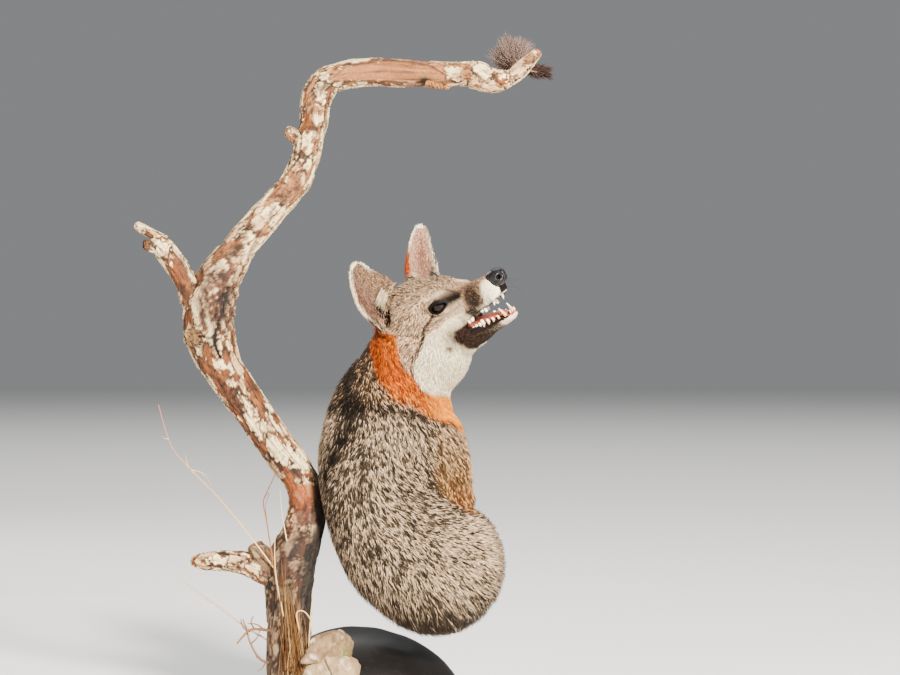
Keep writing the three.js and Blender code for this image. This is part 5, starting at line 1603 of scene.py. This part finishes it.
def grained(piece, grain):
    """Keeps where each point lies along and across the wood's grain on the mesh."""
    layer = piece.data.attributes.new("grain", "FLOAT_VECTOR", "POINT")
    layer.data.foreach_set("vector", grain.astype(np.float32).ravel())


branch_points, branch_triangles, branch_paint, branch_grain = barked(BRANCH, 2.5, 640, 96, 40)
branch = fitted(
    "branch", branch_points, branch_triangles, bark, branch_paint, "bark", "branch_foot", "branch_bend",
    "branch_lower", "branch_crotch", "branch_upper", "branch_elbow", "branch_arm", "branch_tip",
)
grained(branch, branch_grain)
for number, (name, (stations, round_end, rings, sides)) in enumerate(LIMBS.items()):
    points, triangles, paint, grain = barked(stations, round_end, rings, sides, 60 + 20 * number)
    if name == "knot_cut":  # sawn: year rings around its face's middle
        face_out = np.linalg.norm((points - stations[-1][:3]) * [1, 0.6, 1], axis=1)
        sawn_face = soft(-points[:, 1], 22, 24)
        year = 0.5 + 0.5 * np.sin(face_out * 3.4)
        paint = mixed(paint, SAWN_EDGE, 0.7 - 0.7 * sawn_face)
        paint = mixed(paint, SAWN_WOOD, sawn_face)
        paint = mixed(paint, YEAR_RING, sawn_face * year * 0.6)
    if name == "knob_low":
        paint = mixed(paint, KNOB_BROWN, np.full(len(points), 0.75))
    grained(fitted(name + "_wood", points, triangles, bark, paint, "bark", name), grain)

# A splinter of torn wood hangs under the arm where the scar ends, beside a dark hollow.
SPLINTER = [
    [69, -12, 585, 2.8, 2.2], [76, -14, 583.5, 3.0, 2.3],
    [83, -14, 582, 2.3, 1.8], [89, -13, 580.5, 1.1, 1.1],
]
points, triangles = swept(SPLINTER, 30, 16, 2.6, (1, 1.2))
points = points + vertex_normals(points, triangles) * 0.4 * ripple(points, 3, 33)[:, None]
paint = mixed(painted(160, 104, 46), painted(80, 48, 26), soft(ripple(points, 3, 34), -0.2, 0.6))
grained(fitted("arm_splinter", points, triangles, bark, paint, "bare_wood"), points * [0.1, 1, 1])

# ---- Stone and mound ----------------------------------------------------------------------------
# Two lumps of pale sandstone, worn on every face and with moss on one, lie at the branch's foot. The
# branch and the stone stand on a dark glossy dome with a flat underside.

STONE_SOFTNESS = 10.0
STONE_LUMPS = [
    ([-14, -22, 38], [
        [1, -0.1, 0.05, 25], [-1, 0, 0, 28], [0.1, 0.1, 1, 38], [-0.15, -1, 0.2, 22], [0, 1, 0, 26],
        [0, 0, -1, 34], [1, -1, 0.3, 31], [0.8, 0, 1, 42], [-0.8, -0.6, 1, 40],
    ]),
    ([-19, -17, 82], [
        [1, -0.3, -0.1, 18], [-1, 0, 0.5, 17], [-0.25, 0.1, 1, 13], [0.1, -1, 0.3, 14], [0, 1, 0, 18],
        [0, 0, -1, 14], [0.9, 0, 1, 19], [-0.5, -0.7, 1, 17],
    ]),
]
STONE_PALE = painted(176, 148, 110)
STONE_BROWN = painted(88, 64, 40)
STONE_CRACK = painted(34, 24, 17)
STONE_WORN = painted(242, 232, 206)
MOSS = painted(120, 126, 60)


def stone_lump(number, middle, faces):
    """A stone between flat faces: in each direction the reaches to the faces joined by a soft minimum."""
    ways, triangles = ball(90, 124)
    face_ways = np.array(faces)[:, :3]
    face_ways /= np.linalg.norm(face_ways, axis=1, keepdims=True)
    facing = np.maximum(ways @ face_ways.T, 1e-6) / np.array(faces)[:, 3]
    reach = (facing**STONE_SOFTNESS).sum(axis=1) ** (-1 / STONE_SOFTNESS)
    points = np.array(middle) + ways * reach[:, None]
    rough = ripple(points, 14, 70 + number) * 0.9 + ripple(points, 5, 72 + number) * 0.35
    layers = np.sin(points[:, 2] * 1.3 + 2 * ripple(points, 25, 74)) * 0.22
    x, y, z = points.T
    split = line_distance(x, z, [(-21, 74), (-17, 66), (-13, 58), (-9, 48), (-12, 40)])
    crack = (1 - soft(split, 0.3, 1.3)) * (y < -25)
    points = points + ways * (rough + layers - 1.1 - 1.4 * crack)[:, None]
    grain = 0.5 + 0.5 * ripple(points, 9, 75) + 0.25 * ripple(points, 3, 76)
    paint = mixed(STONE_PALE, STONE_BROWN, 0.25 + 0.35 * grain + 0.35 * number)
    paint = mixed(paint, STONE_CRACK, crack * 0.9)
    paint = mixed(paint, STONE_WORN, soft(rough, 0.5, 1.4) * 0.5)
    moss = near(x, -3, 5) * near(z, 78, 4.5) * soft(ripple(points, 2.6, 77), -0.5, 0.3)
    return points, triangles, mixed(paint, MOSS, moss * 0.9)


lumps = [stone_lump(number, middle, faces) for number, (middle, faces) in enumerate(STONE_LUMPS)]
stone_points, stone_triangles = together(*[(points, triangles) for points, triangles, _ in lumps])
stone_paint = np.clip(np.vstack([paint for _, _, paint in lumps]), 0, 1)
sandstone = bark_finish("sandstone", 0.9)
fitted("stone_worn", stone_points, stone_triangles, sandstone, stone_paint, "sandstone", "stone")

MOUND_RADIUS, MOUND_CROWN, MOUND_DEEP, MOUND_FOOT, MOUND_FOOT_HEIGHT = 110.0, 90.0, 95.0, 16.0, 42.0


def mound_form():
    """The dome: an elliptic rise from a spread foot, closed flat below."""
    heights = np.concatenate([[0.0], MOUND_CROWN * np.sin(np.linspace(0.004, 0.992, 90) * np.pi / 2)])
    round_share = np.sqrt(np.maximum(1 - (heights / MOUND_CROWN) ** 2, 0))
    foot = MOUND_FOOT * np.maximum(1 - heights / MOUND_FOOT_HEIGHT, 0) ** 2
    turn = np.linspace(0, 2 * np.pi, 160, endpoint=False)
    cos, sin = np.cos(turn)[None], np.sin(turn)[None]
    wide = np.where(cos > 0, MOUND_RADIUS, MOUND_CROWN) * round_share[:, None] + foot[:, None]
    deep = MOUND_DEEP * round_share[:, None] + foot[:, None]
    height = np.broadcast_to(heights[:, None], wide.shape)
    grid = np.stack([wide * cos, deep * sin, height], -1)
    return closed(grid, [0, 0, 0], [0, 0, MOUND_CROWN])


mound_points, mound_triangles = mound_form()
mound_points = mound_points - FOX_PLANE
mound_points[:, 2] = np.maximum(
    mound_points[:, 2] + 0.35 * ripple(mound_points, 34, 80) * soft(mound_points[:, 2], 0, 12), 0,
)
lacquer = finish_like("mound_lacquer", {"Roughness": 0.42, "Specular IOR Level": 0.22})
where = add_node(lacquer, "TexCoord", {}, {}, {}).outputs["Object"]
specks = noise_over(lacquer, where, 260, 8)
speck_colour = ramped(lacquer, specks, 0.55, painted(15, 13, 12), 0.82, painted(29, 24, 22))
wires = {"Base Color": speck_colour, "Normal": bumped(lacquer, specks, 0.15, 0.0008)}
joined(lacquer, lacquer.node_tree.nodes["Principled BSDF"], {}, wires)
fitted("mound_dome", mound_points, mound_triangles, lacquer, None, "mound_gloss", "mound")

# ---- Feather ------------------------------------------------------------------------------------
# A body feather is caught on the tip of the branch: grey down around its quill, and a small dark vane
# to the right. Both are single barbs.

DOWN_MIDDLE = np.array([147, 7, 614.5])
DOWN_HALF = np.array([24.5, 17, 20.5])
DOWN_ROOT = np.array([148, 3, 598.0])
DOWN_BARBS = 3400
VANE_BARBS = 760
FEATHER_SEED = 9
feather_source = np.random.default_rng(FEATHER_SEED)
aim = feather_source.normal(size=(DOWN_BARBS, 3))
aim /= np.linalg.norm(aim, axis=1, keepdims=True)
uneven = 0.92 + 0.22 * ripple(aim * 10, 9, 64)[:, None]
reach = feather_source.uniform(0.30, 1.0, DOWN_BARBS)[:, None] ** 0.5 * uneven
tips = DOWN_MIDDLE + aim * DOWN_HALF * reach
low = np.clip((DOWN_ROOT[2] + 2 - tips[:, 2]) / 12, 0, 1)[:, None]
tips = tips + (DOWN_MIDDLE - tips) * low * 0.5
starts = DOWN_ROOT + (tips - DOWN_ROOT) * feather_source.uniform(0.05, 0.45, DOWN_BARBS)[:, None]
swirl = feather_source.normal(0, 2.6, (DOWN_BARBS, 3))
points, triangles, stride = strands(starts, (starts + tips) / 2 + swirl + [0, 0, 1.5], tips, 0.40, 4)
inside = np.repeat((tips - DOWN_ROOT)[:, 2], stride)
tone = np.repeat(feather_source.uniform(0, 1, DOWN_BARBS), stride)
paint = mixed(painted(66, 48, 42), painted(172, 146, 132), 0.75 * tone)
paint = mixed(paint, painted(58, 42, 36), (1 - soft(inside, 4, 16)) * 0.6)
down_fibre = finish_like("down_fibre", {}, base=coat_material)
fitted("down_barbs", points, triangles, down_fibre, paint, "down", "feather_down")

share = feather_source.uniform(0, 1, VANE_BARBS)
spine_x, spine_z = 152 + 22 * share, 600 - 3 * share
starts = np.stack([spine_x, 8 + feather_source.normal(0, 0.5, VANE_BARBS), spine_z], -1)
upper = feather_source.uniform(0, 1, VANE_BARBS) < 0.5
reach = feather_source.uniform(0.75, 1.10, VANE_BARBS) * (11.5 - 2.5 * share)
rise = np.where(upper, 0.75, -0.85) * feather_source.uniform(0.1, 1.0, VANE_BARBS)
tips = starts + np.stack([reach * 1.15, feather_source.normal(0, 1.6, VANE_BARBS), reach * rise], -1)
points, triangles, stride = strands(starts, (starts + tips) / 2 + [1.2, 0, 0], tips, 0.62)
tone = np.repeat(feather_source.uniform(0, 1, VANE_BARBS), stride)
paint = mixed(painted(26, 17, 14), painted(84, 62, 54), 0.7 * tone)
fitted("vane_barbs", points, triangles, down_fibre, paint, "vane", "feather_vane")

QUILL = [
    [140, -24, 626, 0.6, 0.6], [143.5, -22, 616, 0.8, 0.8], [148, -16, 606, 0.9, 0.9],
    [156, 2, 600, 0.7, 0.7], [172, 8, 597, 0.4, 0.4],
]
points, triangles = swept(QUILL, 40, 10, 2, (0.6, 0.6))
lit = soft(points[:, 0] + 0.36 * (points[:, 2] - 606), 148.3, 149.2)
paint = mixed(painted(70, 56, 50), painted(128, 112, 100), lit)
fitted("feather_quill", points, triangles, down_fibre, paint, "vane")

# ---- Dry grass and stems ------------------------------------------------------------------------
# A bunch of straw is tucked along the branch's foot. Thin dry stems with small side shoots stand out
# from its crotch and its left side.

GRASS_SEED = 15
STRAWS = 200
STRAW_GOLD = painted(140, 100, 58)
STRAW_BROWN = painted(70, 44, 24)
STRAW_PALE = painted(208, 170, 116)
grass_source = np.random.default_rng(GRASS_SEED)
foot_share = grass_source.uniform(0, 1, STRAWS)
tall = grass_source.beta(1.2, 2.7, STRAWS)
starts = np.stack([
    -48 + grass_source.normal(0, 7.5, STRAWS), -24 + grass_source.normal(0, 2.2, STRAWS),
    30 + 22 * foot_share,
], -1)
tips = np.stack([
    -46 + grass_source.normal(0, 7, STRAWS) * (1.1 - tall) - 24 * tall**2,
    -24.5 + grass_source.normal(0, 2.2, STRAWS), 64 + 128 * tall,
], -1)
bend = (starts + tips) / 2 + np.stack([
    grass_source.normal(2, 6, STRAWS), grass_source.normal(-2.5, 2.0, STRAWS), 0 * tall,
], -1)
points, triangles, stride = strands(starts, bend, tips, grass_source.uniform(0.5, 1.05, STRAWS), rings=9)
tone = np.repeat(grass_source.uniform(0, 1, STRAWS), stride)
paint = mixed(STRAW_GOLD, STRAW_BROWN, 1.4 * tone)
paint = mixed(paint, STRAW_PALE, soft(tone, 0.8, 0.95) * 0.8)
straw = finish_like("straw", {}, base=coat_material)
fitted("grass_straws", points, triangles, straw, paint, "straw", "grass_tuft")

# Single straws that stand out from the bunch: places and half thickness.
STRAW_LOOPS = [
    [
        [-44, -26, 98, 0.6], [-46, -28, 113, 0.6], [-40, -29, 115, 0.55], [-34, -28, 108, 0.5],
        [-31, -27, 99, 0.35],
    ],
    [[-36, -25, 60, 0.6], [-35, -27, 90, 0.6], [-33, -26, 118, 0.5], [-31, -24, 134, 0.3]],
    [[-58, -24, 110, 0.7], [-64, -24, 140, 0.6], [-66, -22, 160, 0.5], [-66, -20, 180, 0.3]],
]
for number, stations in enumerate(STRAW_LOOPS):
    points, triangles = swept([[*station, station[3]] for station in stations], 40, 8, 2, (0.3, 0.3))
    fitted(f"straw_loop_{number}", points, triangles, straw, STRAW_PALE, "straw")

# Each stem: how thick it is, its path, its side shoots' paths, and its colours at foot and tip.
STEMS = {
    "stem_long": (0.7, [
        [-66, -14, 150], [-86, -20, 178], [-114, -24, 213], [-140, -26, 240], [-155, -26, 257],
        [-162, -26, 273], [-169, -26, 298],
    ], [
        [[-142, -26, 242], [-144, -27, 248], [-145, -26, 256]],
        [[-140, -26, 240], [-131, -27, 238], [-125, -26, 232], [-121, -25, 221]],
        [[-160, -26, 268], [-163, -27, 268], [-166, -27, 270]],
    ], painted(220, 182, 124), painted(150, 104, 86)),
    "stem_red": (0.6, [
        [-66, -18, 146], [-73, -22, 193], [-76, -22, 211], [-72, -22, 222], [-65, -22, 237],
    ], [
        [[-73, -22, 196], [-74, -23, 208], [-71, -23, 219], [-76, -23, 214]],
    ], painted(146, 98, 48), painted(104, 44, 30)),
    "stem_fine": (
        0.5, [[-56, -12, 176], [-60, -14, 200], [-62, -14, 222]], [],
        painted(226, 196, 148), painted(190, 160, 150),
    ),
    "stem_low": (0.85, [[-70, -6, 84], [-94, -8, 99], [-121, -12, 120], [-153, -16, 144]], [
        [[-121, -12, 120], [-126, -13, 122], [-131, -13, 127]],
    ], painted(176, 146, 128), painted(186, 152, 136)),
    "twig_upper": (1.3, [[-66, -14, 95], [-86, -22, 98], [-94, -25, 92], [-99, -26, 86]], [
        [[-84, -21, 98], [-87, -22, 104], [-85, -22, 110]],
        [[-76, -18, 97], [-82, -20, 102], [-90, -21, 103]],
        [[-88, -22, 96], [-94, -23, 100], [-96, -23, 107]],
    ], painted(78, 50, 32), painted(128, 90, 60)),
    "twig_lower": (1.2, [[-64, -12, 66], [-79, -15, 70], [-88, -15, 84], [-92, -14, 97], [-95, -15, 106]], [
        [[-74, -14, 69], [-78, -15, 62], [-82, -16, 60]], [[-88, -15, 84], [-82, -16, 90], [-80, -16, 96]],
    ], painted(80, 52, 34), painted(146, 108, 82)),
}
for name, (thick, path, shoots, foot_colour, tip_colour) in STEMS.items():
    lines = [(path, thick)] + [(shoot, thick * 0.55) for shoot in shoots]
    tubes, paints = [], []
    for line, radius in lines:
        steps = len(line)
        thin = radius * (1 - 0.55 * np.arange(steps) / steps)
        points, triangles = swept(np.column_stack([line, thin, thin]), 14 * steps, 8, 2, (radius, radius / 2))
        knobs = 0.35 * radius * soft(ripple(points, 7, 90), 0.5, 1.2)
        points = points + vertex_normals(points, triangles) * knobs[:, None]
        tubes.append((points, triangles))
        share = np.linalg.norm(points - points[-2], axis=1)
        share = share / share.max()
        paints.append(mixed(foot_colour, tip_colour, share))
    points, triangles = together(*tubes)
    fitted(name + "_dry", points, triangles, straw, np.vstack(paints), "straw", name)
